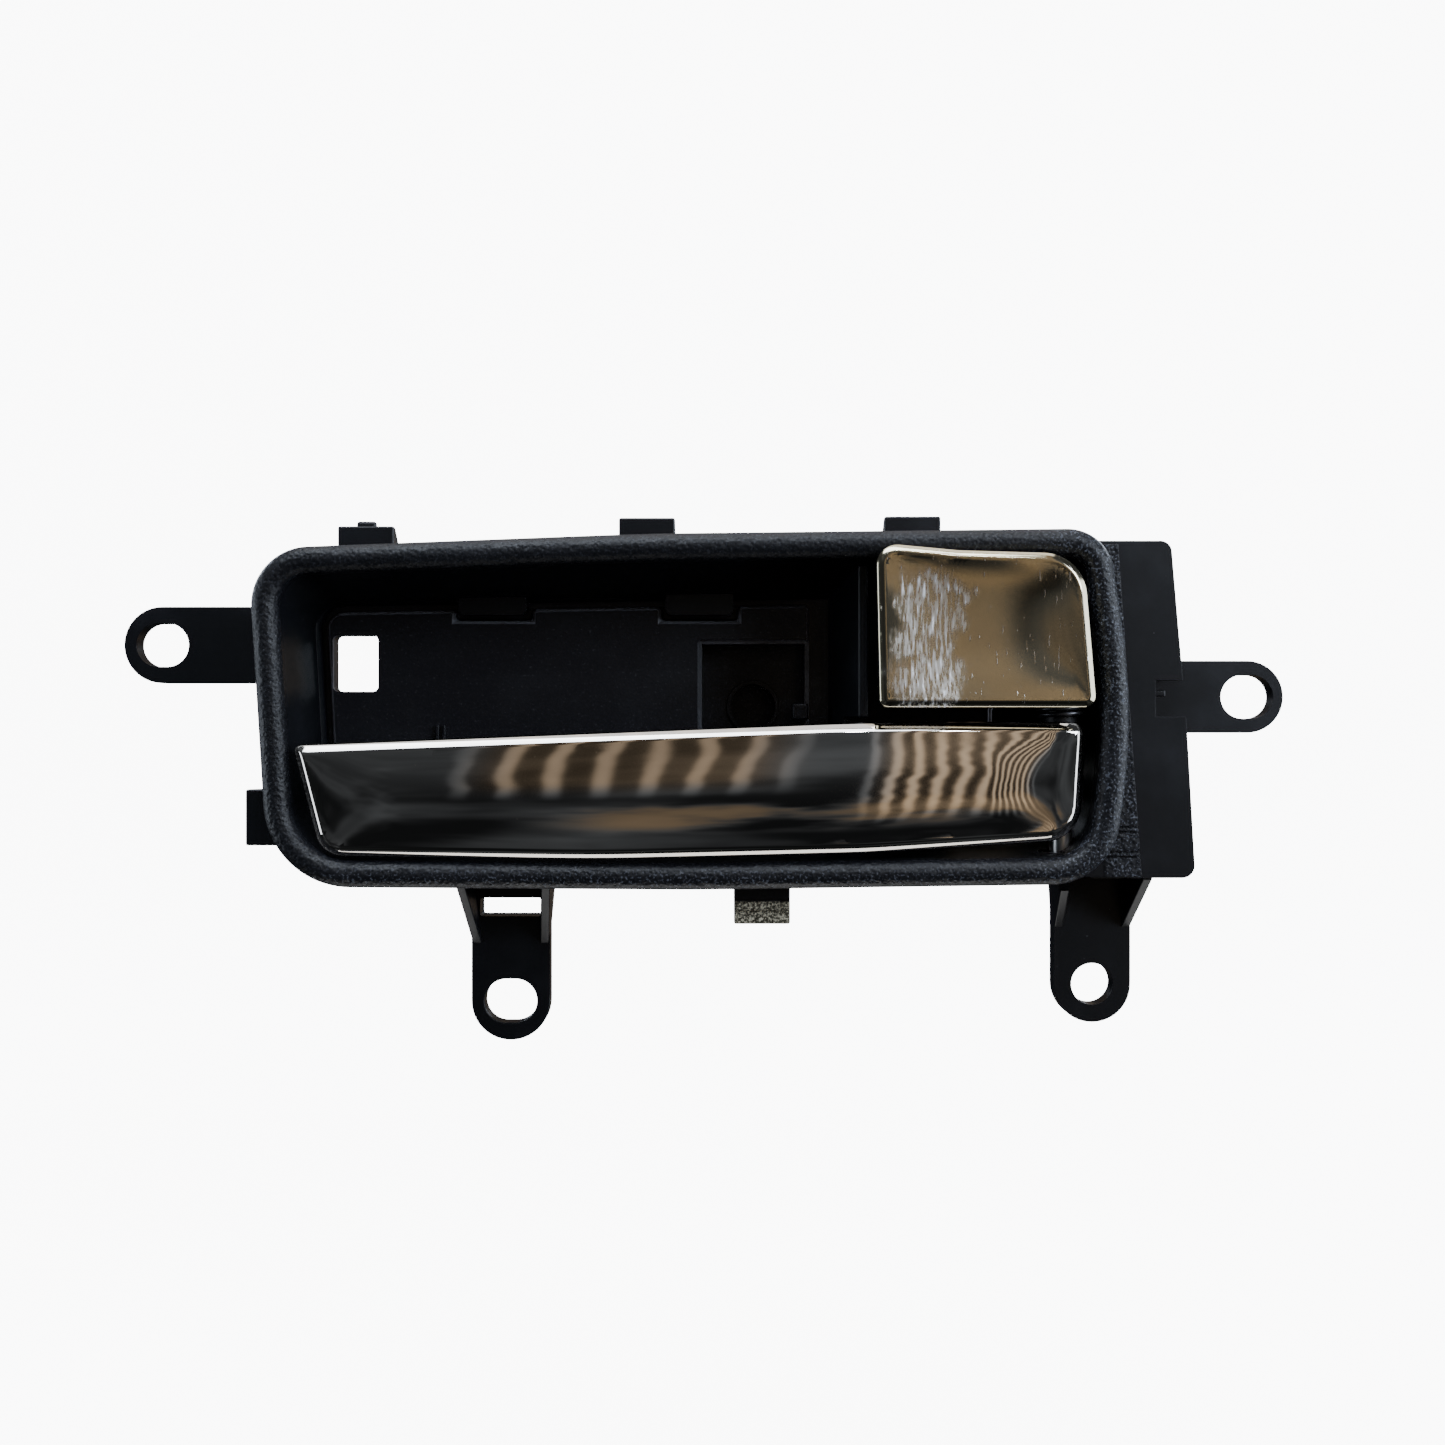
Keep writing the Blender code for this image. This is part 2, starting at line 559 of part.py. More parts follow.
def divider(housing):
    """The sloped wall between the finger recess and the knob, low behind the lever."""
    back = RECESS_DEPTH
    top_front, top_back = wall_height(DIVIDER_FRONT) + 1.2 * MM, wall_height(back) + 1.2 * MM
    joined = DIVIDER_LOW + 0.4 * MM
    for front, low, high_front, high_back, skim in (
        (DIVIDER_FRONT, DIVIDER_LOW, top_front, top_back, 0.0),
        (DIVIDER_BEHIND_LEVER, None, joined, joined, SKIM),
    ):
        share = (front - DIVIDER_FRONT) / (back - DIVIDER_FRONT)
        left = DIVIDER_X - DIVIDER_EDGE - share * (DIVIDER_FOOT - DIVIDER_EDGE) + skim
        right, foot = DIVIDER_X - skim, DIVIDER_X - DIVIDER_FOOT + skim
        section = ((left, front), (right, front), (right, back - skim), (foot, back - skim))
        lows = [wall_height(y, top=False) if low is None else low for _, y in section]
        highs = [high_front if y == front else high_back for _, y in section]
        bottom = [Vector((x, y, z)) for (x, y), z in zip(section, lows)]
        top = [Vector((x, y, z)) for (x, y), z in zip(section, highs)]
        add(housing, loft("divider", [bottom, top]))


def hub_chamber(housing):
    """The closed back behind the knob, with a slot for each cable arm."""
    front = RECESS_DEPTH - BACK_WALL
    wall = plate("back_wall", outline(recess_corners(), -0.35 * WALL), front, RECESS_DEPTH - SKIM)
    foot = DIVIDER_X - DIVIDER_FOOT
    cut(wall, block("trim", (-0.2, front - 0.01, -0.1), (foot + 1.1 * MM, front + 0.02, 0.1)))
    for z in (LEVER_ARM_Z, LOCK_ARM_Z):
        half = ARM_SLOT_HIGH / 2.0
        low = (ARM_SLOT_LEFT, front - 0.01, z - half)
        cut(wall, block("arm_slot", low, (ARM_SLOT_RIGHT, front + 0.02, z + half)))
    add(housing, wall)


def tongues(housing):
    """Short tongues from the top wall that hook over the recess floor."""
    back = RECESS_DEPTH - FLOOR_RAISE - GAP
    for x in TONGUES:
        front = back - TONGUE_THICK
        high = wall_height(back) + 0.8 * MM
        low = RIM_TOP - WALL_DRAFT_TOP - TONGUE_REACH - 0.8 * MM
        half = TONGUE_WIDE / 2.0
        corners = [
            (x - half, low, 1.2 * MM, 2), (x + half, low, 1.2 * MM, 2),
            (x + half, high, 0.1 * MM, 1), (x - half, high, 0.1 * MM, 1),
        ]
        add(housing, plate("tongue", outline(corners), front, back))


def pin_bosses(housing):
    """Bosses above and below the recess that hold the bushes of the pin."""
    add(
        housing,
        rod_z("boss", PIN_X, PIN_Y, BOSS_RADIUS, wall_height(PIN_Y) - 3.0 * MM, BOSS_TOP),
        rod_z("boss", PIN_X, PIN_Y, BOSS_RADIUS, BOSS_BOTTOM, wall_height(PIN_Y, top=False) + 2.6 * MM),
    )


def build_housing():
    housing = bezel()
    pin_bosses(housing)
    flange(housing)
    screw_tabs(housing)
    snap_hooks(housing)
    cut(housing, recess_space())
    divider(housing)
    hub_chamber(housing)
    tongues(housing)
    tab_holes(housing)
    bore = PIN_RADIUS + BUSH_WALL + 2.0 * GAP
    cut(housing, rod_z("bore", PIN_X, PIN_Y, bore, BOSS_TOP - BUSH_LENGTH - GAP, BOSS_TOP + 0.01))
    cut(housing, rod_z("bore", PIN_X, PIN_Y, bore, BOSS_BOTTOM - 0.01, BOSS_BOTTOM + BUSH_LENGTH + GAP))
    cut(housing, rod_z("bore", PIN_X, PIN_Y, PIN_RADIUS + GAP, BOSS_BOTTOM, BOSS_TOP))
    cut(housing, rod_z("clear", PIN_X, PIN_Y, PIN_HEAD_RADIUS + 2.0 * GAP, BOSS_TOP, BOSS_TOP + 4.0 * MM))
    cut(housing, rod_z("clear", PIN_X, PIN_Y, CLIP_RADIUS + 2.0 * GAP, BOSS_BOTTOM - 4.0 * MM, BOSS_BOTTOM))
    return finish(housing, "black_moulding")


# ---------------------------------------------------------------- recess floor
def build_recess_floor():
    """A plate with a raised face, a see-through window and a screw well."""
    seat = RECESS_DEPTH + GAP
    back = seat + FLOOR_PLATE
    right = DIVIDER_X - DIVIDER_FOOT
    floor = plate("recess_floor", outline(recess_corners(), -FLOOR_LIP), seat, back)
    raised_front = seat - FLOOR_RAISE - GAP
    raised = plate("raised", outline(recess_corners(), FLOOR_GROOVE), raised_front, seat + 0.5 * MM)
    cut(raised, block("trim", (right - 2.0 * FLOOR_GROOVE, -0.1, -0.1), (0.2, 0.1, 0.1)))
    for x in TONGUES:
        half = TONGUE_WIDE / 2.0 + FLOOR_GROOVE / 2.0
        low = RIM_TOP - WALL_DRAFT_TOP - TONGUE_REACH - 0.8 * MM - FLOOR_GROOVE / 2.0
        cut(raised, block("relief", (x - half, 0.0, low), (x + half, seat + 0.1 * MM, 0.1)))
    add(floor, raised)
    cut(floor, block("trim", (right + 2.0 * MM, -0.1, -0.1), (0.2, 0.1, 0.1)))
    screw_well(floor, seat)
    window = [
        (WINDOW_X - WINDOW_SIZE / 2.0, WINDOW_Z - WINDOW_HIGH / 2.0, 1.0 * MM, 2),
        (WINDOW_X + WINDOW_SIZE / 2.0, WINDOW_Z - WINDOW_HIGH / 2.0, 1.0 * MM, 2),
        (WINDOW_X + WINDOW_SIZE / 2.0, WINDOW_Z + WINDOW_HIGH / 2.0, 1.0 * MM, 2),
        (WINDOW_X - WINDOW_SIZE / 2.0, WINDOW_Z + WINDOW_HIGH / 2.0, 1.0 * MM, 2),
    ]
    cut(floor, plate("window", outline(window), 0.0, back + 0.1))
    return finish(floor, "black_moulding")


def screw_well(floor, seat):
    """A sunk pocket in the recess floor with a closed boss for a screw."""
    well_low, well_high = WELL_Z - WELL_HIGH / 2.0, WELL_Z + WELL_HIGH / 2.0
    well_left, well_right = WELL_X - WELL_WIDE / 2.0, WELL_X + WELL_WIDE / 2.0
    cup = [
        (well_left - WELL_FLOOR, well_low - WELL_FLOOR, 2.0 * MM, 3),
        (well_right + WELL_FLOOR, well_low - WELL_FLOOR, 2.0 * MM, 3),
        (well_right + WELL_FLOOR, well_high + WELL_FLOOR, 2.0 * MM, 3),
        (well_left - WELL_FLOOR, well_high + WELL_FLOOR, 2.0 * MM, 3),
    ]
    add(floor, plate("cup", outline(cup), seat + 0.4 * MM, seat + WELL_DEPTH + WELL_FLOOR))
    cut(floor, plate("pocket", outline(cup, WELL_FLOOR), -0.1, seat + WELL_DEPTH))
    cup_back = seat + WELL_DEPTH + WELL_FLOOR
    hole_z = WELL_Z - 1.5 * MM
    end = cup_back + WELL_BOSS_LENGTH
    add(floor, rod_y("boss", WELL_X, hole_z, WELL_BOSS_RADIUS, cup_back - 0.5 * MM, end))
    cut(floor, rod_y("hole", WELL_X, hole_z, WELL_HOLE / 2.0, 0.0, end - WELL_FLOOR))


# ---------------------------------------------------------------- lever
def lever_bow(x):
    """The lever's face bows towards the hand along its length, and curls back over the hinge."""
    middle = (LEVER_LEFT + LEVER_RIGHT) / 2.0
    share = (x - middle) / ((LEVER_RIGHT - LEVER_LEFT) / 2.0)
    curl = max(0.0, 1.0 - (LEVER_RIGHT - x) / LEVER_ROLL_LENGTH)
    return LEVER_ROLL * curl * curl - LEVER_BOW * (1.0 - min(1.0, share * share))


def lever_ring(inset, y):
    return bowed_ring(lever_corners(), inset, y, lever_bow, LEVER_SPACING)


def build_lever_shell():
    """The chromed face, a hollow shell with posts for its screws."""
    face = ((1.4, LEVER_EDGE_BACK), (0.0, LEVER_EDGE_BACK), (0.0, -1.0 * MM), (0.6, -2.2 * MM),
            (2.4, -3.2 * MM), (5.0, -0.95 * LEVER_FRONT), (8.0, -LEVER_FRONT - 0.1 * MM))
    hollow = ((8.0, LEVER_SHELL - LEVER_FRONT), (3.4, LEVER_SHELL - 3.3 * MM), (1.9, -0.9 * MM))
    rings = [lever_ring(inset * MM, y) for inset, y in hollow + face]
    shell = split_caps(loft("lever_shell", rings))
    for x in SHELL_SCREWS:
        bow = lever_bow(x)
        z = SHELL_SCREW_Z
        roof = LEVER_SHELL - LEVER_FRONT + bow
        add(shell, rod_y("post", x, z, SHELL_POST_RADIUS, roof - 0.6 * MM, CORE_FRONT + bow - GAP, 16))
        hole = SHELL_SCREW_RADIUS + GAP
        cut(shell, rod_y("hole", x, z, hole, roof + 0.2 * MM, CORE_FRONT + bow, 16))
    return finish(shell, "chrome_shell", pivot_point())


def pivot_point():
    return Vector((PIN_X, PIN_Y, 0.0))


def cut_arm_eye(core, z):
    """The hole in a cable arm's end for the clip of the cable."""
    reach = ARM_HIGH / 2.0 + 1.0 * MM
    cut(core, rod_z("eye", PIN_X, PIN_Y + ARM_LENGTH, CLIP_PIN_RADIUS + GAP, z - reach, z + reach))


def cable_arm(z):
    """An arm from the hub into the door, with an eye for the cable's end."""
    half_wide, half_high = ARM_WIDE / 2.0, ARM_HIGH / 2.0
    tip = PIN_Y + ARM_LENGTH
    low = (PIN_X - half_wide, PIN_Y + ARM_ROOT, z - half_high)
    arm = block("arm", low, (PIN_X + half_wide, tip, z + half_high))
    add(arm, rod_z("eye", PIN_X, tip, ARM_END_RADIUS, z - half_high, z + half_high))
    return arm


def build_lever_core():
    """The carrier behind the chromed face, with the hub and the cable arm."""
    rings = [lever_ring(CORE_INSET, y) for y in (CORE_FRONT, CORE_BACK)]
    core = split_caps(loft("lever_core", rings))
    low, high = LEVER_HUB
    clear = rod_z("clear", PIN_X, PIN_Y, HUB_RADIUS - 0.5 * MM, -0.1, 0.1)
    cut(core, clear)
    add(core, rod_z("hub", PIN_X, PIN_Y, HUB_RADIUS, low, high))
    add(core, cable_arm(LEVER_ARM_Z))
    cut(core, rod_z("bore", PIN_X, PIN_Y, PIN_RADIUS + GAP, low - 1.0 * MM, high + 1.0 * MM))
    cut_arm_eye(core, LEVER_ARM_Z)
    for x in SHELL_SCREWS:
        cut(core, rod_y("hole", x, SHELL_SCREW_Z, SHELL_SCREW_RADIUS + GAP, -0.02, 0.02, 16))
    return finish(core, "black_carrier", pivot_point())


def build_shell_screws():
    """Screws that hold the chromed face on the carrier, from behind."""
    made = []
    for side, x in zip(("left", "right"), SHELL_SCREWS):
        bow = lever_bow(x)
        head = CORE_BACK + bow + 2.0 * GAP
        tip = LEVER_SHELL - LEVER_FRONT + bow + 0.5 * MM
        top = head + SHELL_SCREW_HEAD
        screw = rod_y(f"shell_screw_{side}", x, SHELL_SCREW_Z, SHELL_SCREW_RADIUS, tip, head + 0.4 * MM, 16)
        add(screw, rod_y("head", x, SHELL_SCREW_Z, 2.0 * SHELL_SCREW_RADIUS, head, top, 16))
        cross_recess(screw, x, SHELL_SCREW_Z, top, 2.4 * MM, 0.6 * MM)
        made.append(finish(screw, "zinc_steel", pivot_point()))
    return made


def cross_recess(screw, x, z, top, wide, deep):
    """A cross-shaped recess in a screw head that faces into the door."""
    narrow = 0.3 * wide / 2.0
    for half_x, half_z in ((wide / 2.0, narrow), (narrow, wide / 2.0)):
        low = (x - half_x, top - deep, z - half_z)
        cut(screw, block("recess", low, (x + half_x, top + 0.001, z + half_z)))


# ---------------------------------------------------------------- lock knob
def build_lock_cap():
    """The chromed knob face: a narrow border round a dished thumb pad."""
    face = ((1.4, LOCK_EDGE_BACK), (0.0, LOCK_EDGE_BACK), (0.0, LOCK_FRONT + 1.0 * MM),
            (0.5, LOCK_FRONT + 0.25 * MM), (1.3, LOCK_FRONT), (2.4, LOCK_FRONT + 0.4 * MM),
            (6.0, LOCK_FRONT + 0.9 * MM), (11.0, LOCK_FRONT + 1.1 * MM))
    hollow = ((11.0, LOCK_FRONT + 1.1 * MM + LOCK_SHELL), (2.2, LOCK_FRONT + 0.6 * MM + LOCK_SHELL))
    rings = [ring(lock_corners(), inset * MM, y) for inset, y in hollow + face]
    return finish(loft("lock_cap", rings), "chrome_shell", pivot_point())


def build_lock_core():
    """The carrier behind the knob, with side skirts, hub and cable arm."""
    front = LOCK_FRONT + 1.1 * MM + LOCK_SHELL + GAP
    core = plate("lock_core", outline(lock_corners(), LOCK_CORE_INSET), front, LOCK_CORE_BACK)
    low, high = LOCK_HUB
    inside = LOCK_CORE_INSET + 0.8 * MM
    skirt_back = PIN_Y + 2.0 * MM
    left = LOCK_LEFT + inside
    root = LOCK_CORE_BACK - 0.6 * MM
    add(core, block("skirt", (left, root, low + 1.6 * MM), (left + 1.5 * MM, skirt_back, high - 1.0 * MM)))
    web_low = (PIN_X - HUB_RADIUS, root, low)
    add(core, block("web", web_low, (PIN_X + LOCK_WEB_RIGHT, PIN_Y - 1.0 * MM, high - LOCK_WEB_SHORT)))
    add(core, rod_z("hub", PIN_X, PIN_Y, HUB_RADIUS, low, high))
    add(core, cable_arm(LOCK_ARM_Z))
    cut(core, rod_z("bore", PIN_X, PIN_Y, PIN_RADIUS + GAP, low - 1.0 * MM, high + 1.0 * MM))
    cut_arm_eye(core, LOCK_ARM_Z)
    return finish(core, "black_carrier", pivot_point())


# ---------------------------------------------------------------- pin and its parts
def build_pin_parts():
    tail = BOSS_BOTTOM - PIN_TAIL
    pin = rod_z("pivot_pin", PIN_X, PIN_Y, PIN_RADIUS, tail, PIN_TOP + 0.4 * MM)
    add(pin, rod_z("head", PIN_X, PIN_Y, PIN_HEAD_RADIUS, PIN_TOP, PIN_TOP + PIN_HEAD))
    finish(pin, "bright_steel")
    inner, outer = PIN_RADIUS + GAP, PIN_RADIUS + GAP + BUSH_WALL
    upper = tube_z("bush_upper", PIN_X, PIN_Y, outer, inner, BOSS_TOP - BUSH_LENGTH, BOSS_TOP)
    lower = tube_z("bush_lower", PIN_X, PIN_Y, outer, inner, BOSS_BOTTOM, BOSS_BOTTOM + BUSH_LENGTH)
    finish(upper, "natural_nylon")
    finish(lower, "natural_nylon")
    top = BOSS_BOTTOM - GAP
    clip = tube_z("pin_clip", PIN_X, PIN_Y, CLIP_RADIUS, inner - 0.1 * MM, top - CLIP_THICK, top)
    finish(clip, "spring_steel")
    spacer = tube_z("hub_spacer", PIN_X, PIN_Y, SPACER_RADIUS, inner, LEVER_HUB[1] + GAP, LOCK_HUB[0] - GAP)
    finish(spacer, "natural_nylon")


def wire(name, points, radius, look):
    """A round wire through points, as a closed tube with capped ends."""
    curve = bpy.data.curves.new(name, "CURVE")
    curve.dimensions = "3D"
    curve.bevel_depth = radius
    curve.bevel_resolution = 1
    curve.use_fill_caps = True
    spline = curve.splines.new("POLY")
    spline.points.add(len(points) - 1)
    for target, point in zip(spline.points, points):
        target.co = (*point, 1.0)
    made = bpy.data.objects.new(name, curve)
    bpy.context.scene.collection.objects.link(made)
    curve.materials.append(material_for(name, look))
    return made


def build_springs():
    """The lever's coil spring, and the leaf that holds the knob in either place."""
    radius = SPACER_RADIUS + GAP + SPRING_WIRE
    per_turn = 16
    points = [Vector((PIN_X + radius, RECESS_DEPTH - BACK_WALL - GAP - SPRING_WIRE, SPRING_LOW))]
    for step in range(SPRING_TURNS * per_turn - per_turn // 2 + 1):
        angle = math.tau * step / per_turn
        height = SPRING_LOW + SPRING_PITCH * step / per_turn
        points.append(Vector((PIN_X + radius * math.cos(angle), PIN_Y + radius * math.sin(angle), height)))
    end = points[-1]
    behind = CORE_BACK + lever_bow(PIN_X - 12.0 * MM) + 2.0 * GAP + SPRING_WIRE
    points.append(Vector((end.x - 1.0 * MM, end.y + 2.0 * MM, end.z)))
    points.append(Vector((PIN_X - 12.0 * MM, behind, end.z)))
    points.append(Vector((PIN_X - 12.6 * MM, behind, end.z - 1.0 * MM)))
    points.append(Vector((PIN_X - 12.6 * MM, behind, LEVER_HUB[1] - 3.0 * MM)))
    wire("return_spring", points, SPRING_WIRE, "spring_steel")
    base = RECESS_DEPTH - BACK_WALL - GAP
    line = ((DIVIDER_X + 3.0 * MM, base), (DIVIDER_X + 12.0 * MM, base),
            (PIN_X - 5.6 * MM, PIN_Y + 4.2 * MM), (PIN_X - 4.2 * MM, PIN_Y + 2.9 * MM))
    section = list(line) + [(x - 0.4 * LEAF_THICK, y - 1.2 * LEAF_THICK) for x, y in reversed(line)]
    middle = (LOCK_HUB[0] + LOCK_ARM_Z) / 2.0 - 1.0 * MM
    leaf = prism_z("lock_detent_spring", section, middle - LEAF_WIDE / 2.0, middle + LEAF_WIDE / 2.0)
    finish(leaf, "spring_steel")


# ---------------------------------------------------------------- cable bracket, clips and stops
def build_bracket():
    """A bent steel bracket on the flange, with two ears that seat the cables' sleeves."""
    low, high = BRACKET_EARS[0][0], BRACKET_EARS[1][1]
    right = BRACKET_X + BRACKET_SHEET
    base_back = BRACKET_BASE_Y + BRACKET_SHEET
    bracket = block("cable_bracket", (BRACKET_BASE_LEFT, BRACKET_BASE_Y, low), (right, base_back, high))
    relief_left = RIM_RIGHT + FLANGE_REACH_TOP - TAB_RIB_ROOT - 2.0 * GAP
    middle = BRACKET_EARS[0][1], BRACKET_EARS[1][0]
    cut(bracket, block("relief", (relief_left, 0.0, middle[0]), (right + 0.01, 0.1, middle[1])))
    for ear_low, ear_high in BRACKET_EARS:
        ear_root = (BRACKET_X, base_back - 0.5 * MM, ear_low)
        add(bracket, block("ear", ear_root, (right, BRACKET_BACK, ear_high)))
    for z in (LEVER_ARM_Z, LOCK_ARM_Z):
        half = CABLE_SLOT / 2.0
        foot, mouth, corner = BRACKET_BACK - CABLE_SLOT_DEEP, BRACKET_BACK + 1.0 * MM, 1.5 * MM
        section = ((mouth, z - half), (foot + corner, z - half), (foot, z - half + corner),
                   (foot, z + half - corner), (foot + corner, z + half), (mouth, z + half))
        cut(bracket, prism_x("slot", section, BRACKET_X - 1.0 * MM, right + 1.0 * MM))
    for z in BRACKET_SCREWS:
        cut(bracket, rod_y("hole", BRACKET_SCREW_X, z, SCREW_RADIUS + GAP, 0.0, base_back + 1.0 * MM))
    finish(bracket, "zinc_steel")
    for side, z in zip(("lower", "upper"), BRACKET_SCREWS):
        head = base_back + GAP
        tip = FLANGE_FRONT + 2.0 * MM
        screw = rod_y(f"bracket_screw_{side}", BRACKET_SCREW_X, z, SCREW_RADIUS, tip, head + 0.6 * MM)
        add(screw, rod_y("head", BRACKET_SCREW_X, z, SCREW_HEAD_RADIUS, head, head + SCREW_HEAD))
        cross_recess(screw, BRACKET_SCREW_X, z, head + SCREW_HEAD, 3.6 * MM, 1.0 * MM)
        finish(screw, "zinc_steel")


def build_cable_clips():
    """Clips in the arms' eyes that hold the ball ends of the cables."""
    for name, z in (("lever_cable_clip", LEVER_ARM_Z), ("lock_cable_clip", LOCK_ARM_Z)):
        half = ARM_HIGH / 2.0
        y = PIN_Y + ARM_LENGTH
        top = z + half + CLIP_PIN_OVER
        clip = rod_z(name, PIN_X, y, CLIP_PIN_RADIUS, z - half - CLIP_PIN_OVER, top)
        add(clip, rod_z("collar", PIN_X, y, CLIP_PIN_RADIUS + 1.1 * MM, z + half + GAP, top))
        cut(clip, rod_z("socket", PIN_X, y, 1.0 * MM, z, z + half + 2.0 * CLIP_PIN_OVER, 12))
        finish(clip, "natural_nylon", pivot_point())


def build_stops():
    """Rubber blocks that the arms rest against."""
    left = PIN_X + ARM_WIDE / 2.0 + GAP
    for name, z in (("lever_bump_stop", LEVER_ARM_Z), ("lock_bump_stop", LOCK_ARM_Z)):
        half = STOP_HIGH / 2.0
        corners = [
            (left, z - half, 0.4 * MM, 2), (left + STOP_WIDE, z - half, 0.4 * MM, 2),
            (left + STOP_WIDE, z + half, 0.4 * MM, 2), (left, z + half, 0.4 * MM, 2),
        ]
        finish(plate(name, outline(corners), STOP_FRONT, STOP_FRONT + STOP_DEEP), "black_rubber")


def build():
    for old in list(bpy.data.objects):
        bpy.data.objects.remove(old)
    build_housing()
    build_recess_floor()
    build_lever_shell()
    build_lever_core()
    build_shell_screws()
    build_lock_cap()
    build_lock_core()
    build_pin_parts()
    build_springs()
    build_bracket()
    build_cable_clips()
    build_stops()


build()
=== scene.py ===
"""Looks of the interior door handle: the moulded bezel, the chromed lever and knob,
and the parts behind them, with their materials, the studio and the camera."""
import json
import math

import bmesh
import bpy
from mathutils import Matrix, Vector


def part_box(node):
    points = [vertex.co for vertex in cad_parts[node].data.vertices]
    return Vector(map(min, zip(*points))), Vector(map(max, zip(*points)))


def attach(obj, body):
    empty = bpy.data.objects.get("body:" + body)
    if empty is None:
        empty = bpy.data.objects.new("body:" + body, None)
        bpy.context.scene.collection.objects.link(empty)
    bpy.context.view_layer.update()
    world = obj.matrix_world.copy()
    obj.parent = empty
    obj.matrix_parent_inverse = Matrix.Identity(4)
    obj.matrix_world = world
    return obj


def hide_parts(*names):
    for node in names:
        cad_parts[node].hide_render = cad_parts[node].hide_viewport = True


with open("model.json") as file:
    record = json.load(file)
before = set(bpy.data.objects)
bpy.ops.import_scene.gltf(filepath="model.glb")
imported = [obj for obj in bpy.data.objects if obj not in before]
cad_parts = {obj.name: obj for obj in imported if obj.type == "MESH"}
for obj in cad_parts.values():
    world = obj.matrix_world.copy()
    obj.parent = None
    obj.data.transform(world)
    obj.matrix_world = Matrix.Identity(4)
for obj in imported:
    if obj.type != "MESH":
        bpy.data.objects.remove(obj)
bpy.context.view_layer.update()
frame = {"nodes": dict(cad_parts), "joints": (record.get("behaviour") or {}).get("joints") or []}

MM = 0.001
ROUND_SIDES = 64
SLOT_SIDES = 48


# ---------------------------------------------------------------- selection and outlines
def deselect():
    for each in bpy.context.selected_objects:
        each.select_set(False)


def choose(piece):
    """Makes the piece the only selected and the active one."""
    deselect()
    piece.select_set(True)
    bpy.context.view_layer.objects.active = piece


def turned(vector, angle):
    cosine, sine = math.cos(angle), math.sin(angle)
    return Vector((vector.x * cosine - vector.y * sine, vector.x * sine + vector.y * cosine))


def outline(corners, inset=0.0):
    """(x, z) points of a rounded outline in millimetres, moved inwards by inset."""
    points = []
    count = len(corners)
    for index, (x, z, radius, segments) in enumerate(corners):
        here = Vector((x, z))
        going = (here - Vector(corners[index - 1][:2])).normalized()
        leaving = (Vector(corners[(index + 1) % count][:2]) - here).normalized()
        normal_in = Vector((-going.y, going.x))
        normal_out = Vector((-leaving.y, leaving.x))
        corner = here + (normal_in + normal_out) * (inset / (1.0 + normal_in.dot(normal_out)))
        turn = math.atan2(going.x * leaving.y - going.y * leaving.x, going.dot(leaving))
        side = 1.0 if turn >= 0.0 else -1.0
        bend = max(radius - side * inset, 0.05)
        start = corner - going * (bend * math.tan(abs(turn) / 2.0))
        centre = start + normal_in * (side * bend)
        for step in range(segments + 1):
            points.append(centre + turned(start - centre, turn * step / segments))
    return points


def spaced(points, spacing, like=None):
    """Adds points along the long sides, as many as the outline 'like' needs."""
    like = like or points
    result = []
    for index, here in enumerate(points):
        following = points[(index + 1) % len(points)]
        length = (like[(index + 1) % len(like)] - like[index]).length
        parts = max(1, round(length / spacing))
        result += [here.lerp(following, step / parts) for step in range(parts)]
    return result


# ---------------------------------------------------------------- building and joining
def from_mesh(name, mesh_data):
    bmesh.ops.recalc_face_normals(mesh_data, faces=mesh_data.faces)
    mesh = bpy.data.meshes.new(name)
    mesh_data.to_mesh(mesh)
    mesh_data.free()
    made = bpy.data.objects.new(name, mesh)
    bpy.context.scene.collection.objects.link(made)
    return made


def loft(name, rings, closed=False):
    """A solid through rings of 3-D points in millimetres."""
    mesh_data = bmesh.new()
    rows = [[mesh_data.verts.new(Vector(spot) * MM) for spot in row] for row in rings]
    pairs = list(zip(rows, rows[1:]))
    if closed:
        pairs.append((rows[-1], rows[0]))
    else:
        mesh_data.faces.new(rows[0])
        mesh_data.faces.new(rows[-1])
    for low, high in pairs:
        for index in range(len(low)):
            after = (index + 1) % len(low)
            mesh_data.faces.new((low[index], low[after], high[after], high[index]))
    return from_mesh(name, mesh_data)


def extruded(name, outline_points, move, edge):
    """A solid extruded from one flat face along move, its edges rounded a little."""
    mesh = bpy.data.meshes.new(name)
    mesh.from_pydata([Vector(point) * MM for point in outline_points], [], [range(len(outline_points))])
    made = bpy.data.objects.new(name, mesh)
    bpy.context.scene.collection.objects.link(made)
    choose(made)
    bpy.ops.object.mode_set(mode="EDIT")
    bpy.ops.mesh.select_all(action="SELECT")
    bpy.ops.mesh.extrude_region_move(TRANSFORM_OT_translate={"value": Vector(move) * MM})
    bpy.ops.mesh.select_all(action="SELECT")
    bpy.ops.mesh.normals_make_consistent(inside=False)
    bpy.ops.object.mode_set(mode="OBJECT")
    return rounded(made, edge)


def plate(name, points, front, back, edge=0.0):
    """A plate of an (x, z) outline between two depths."""
    return extruded(name, [(p[0], front, p[1]) for p in points], (0.0, back - front, 0.0), edge)


def prism_x(name, points, left, right, edge=0.0):
    """A prism of a (y, z) outline between two x values."""
    return extruded(name, [(left, p[0], p[1]) for p in points], (right - left, 0.0, 0.0), edge)


def prism_z(name, points, low, high, edge=0.0):
    """A prism of an (x, y) outline between two heights."""
    return extruded(name, [(p[0], p[1], low) for p in points], (0.0, 0.0, high - low), edge)


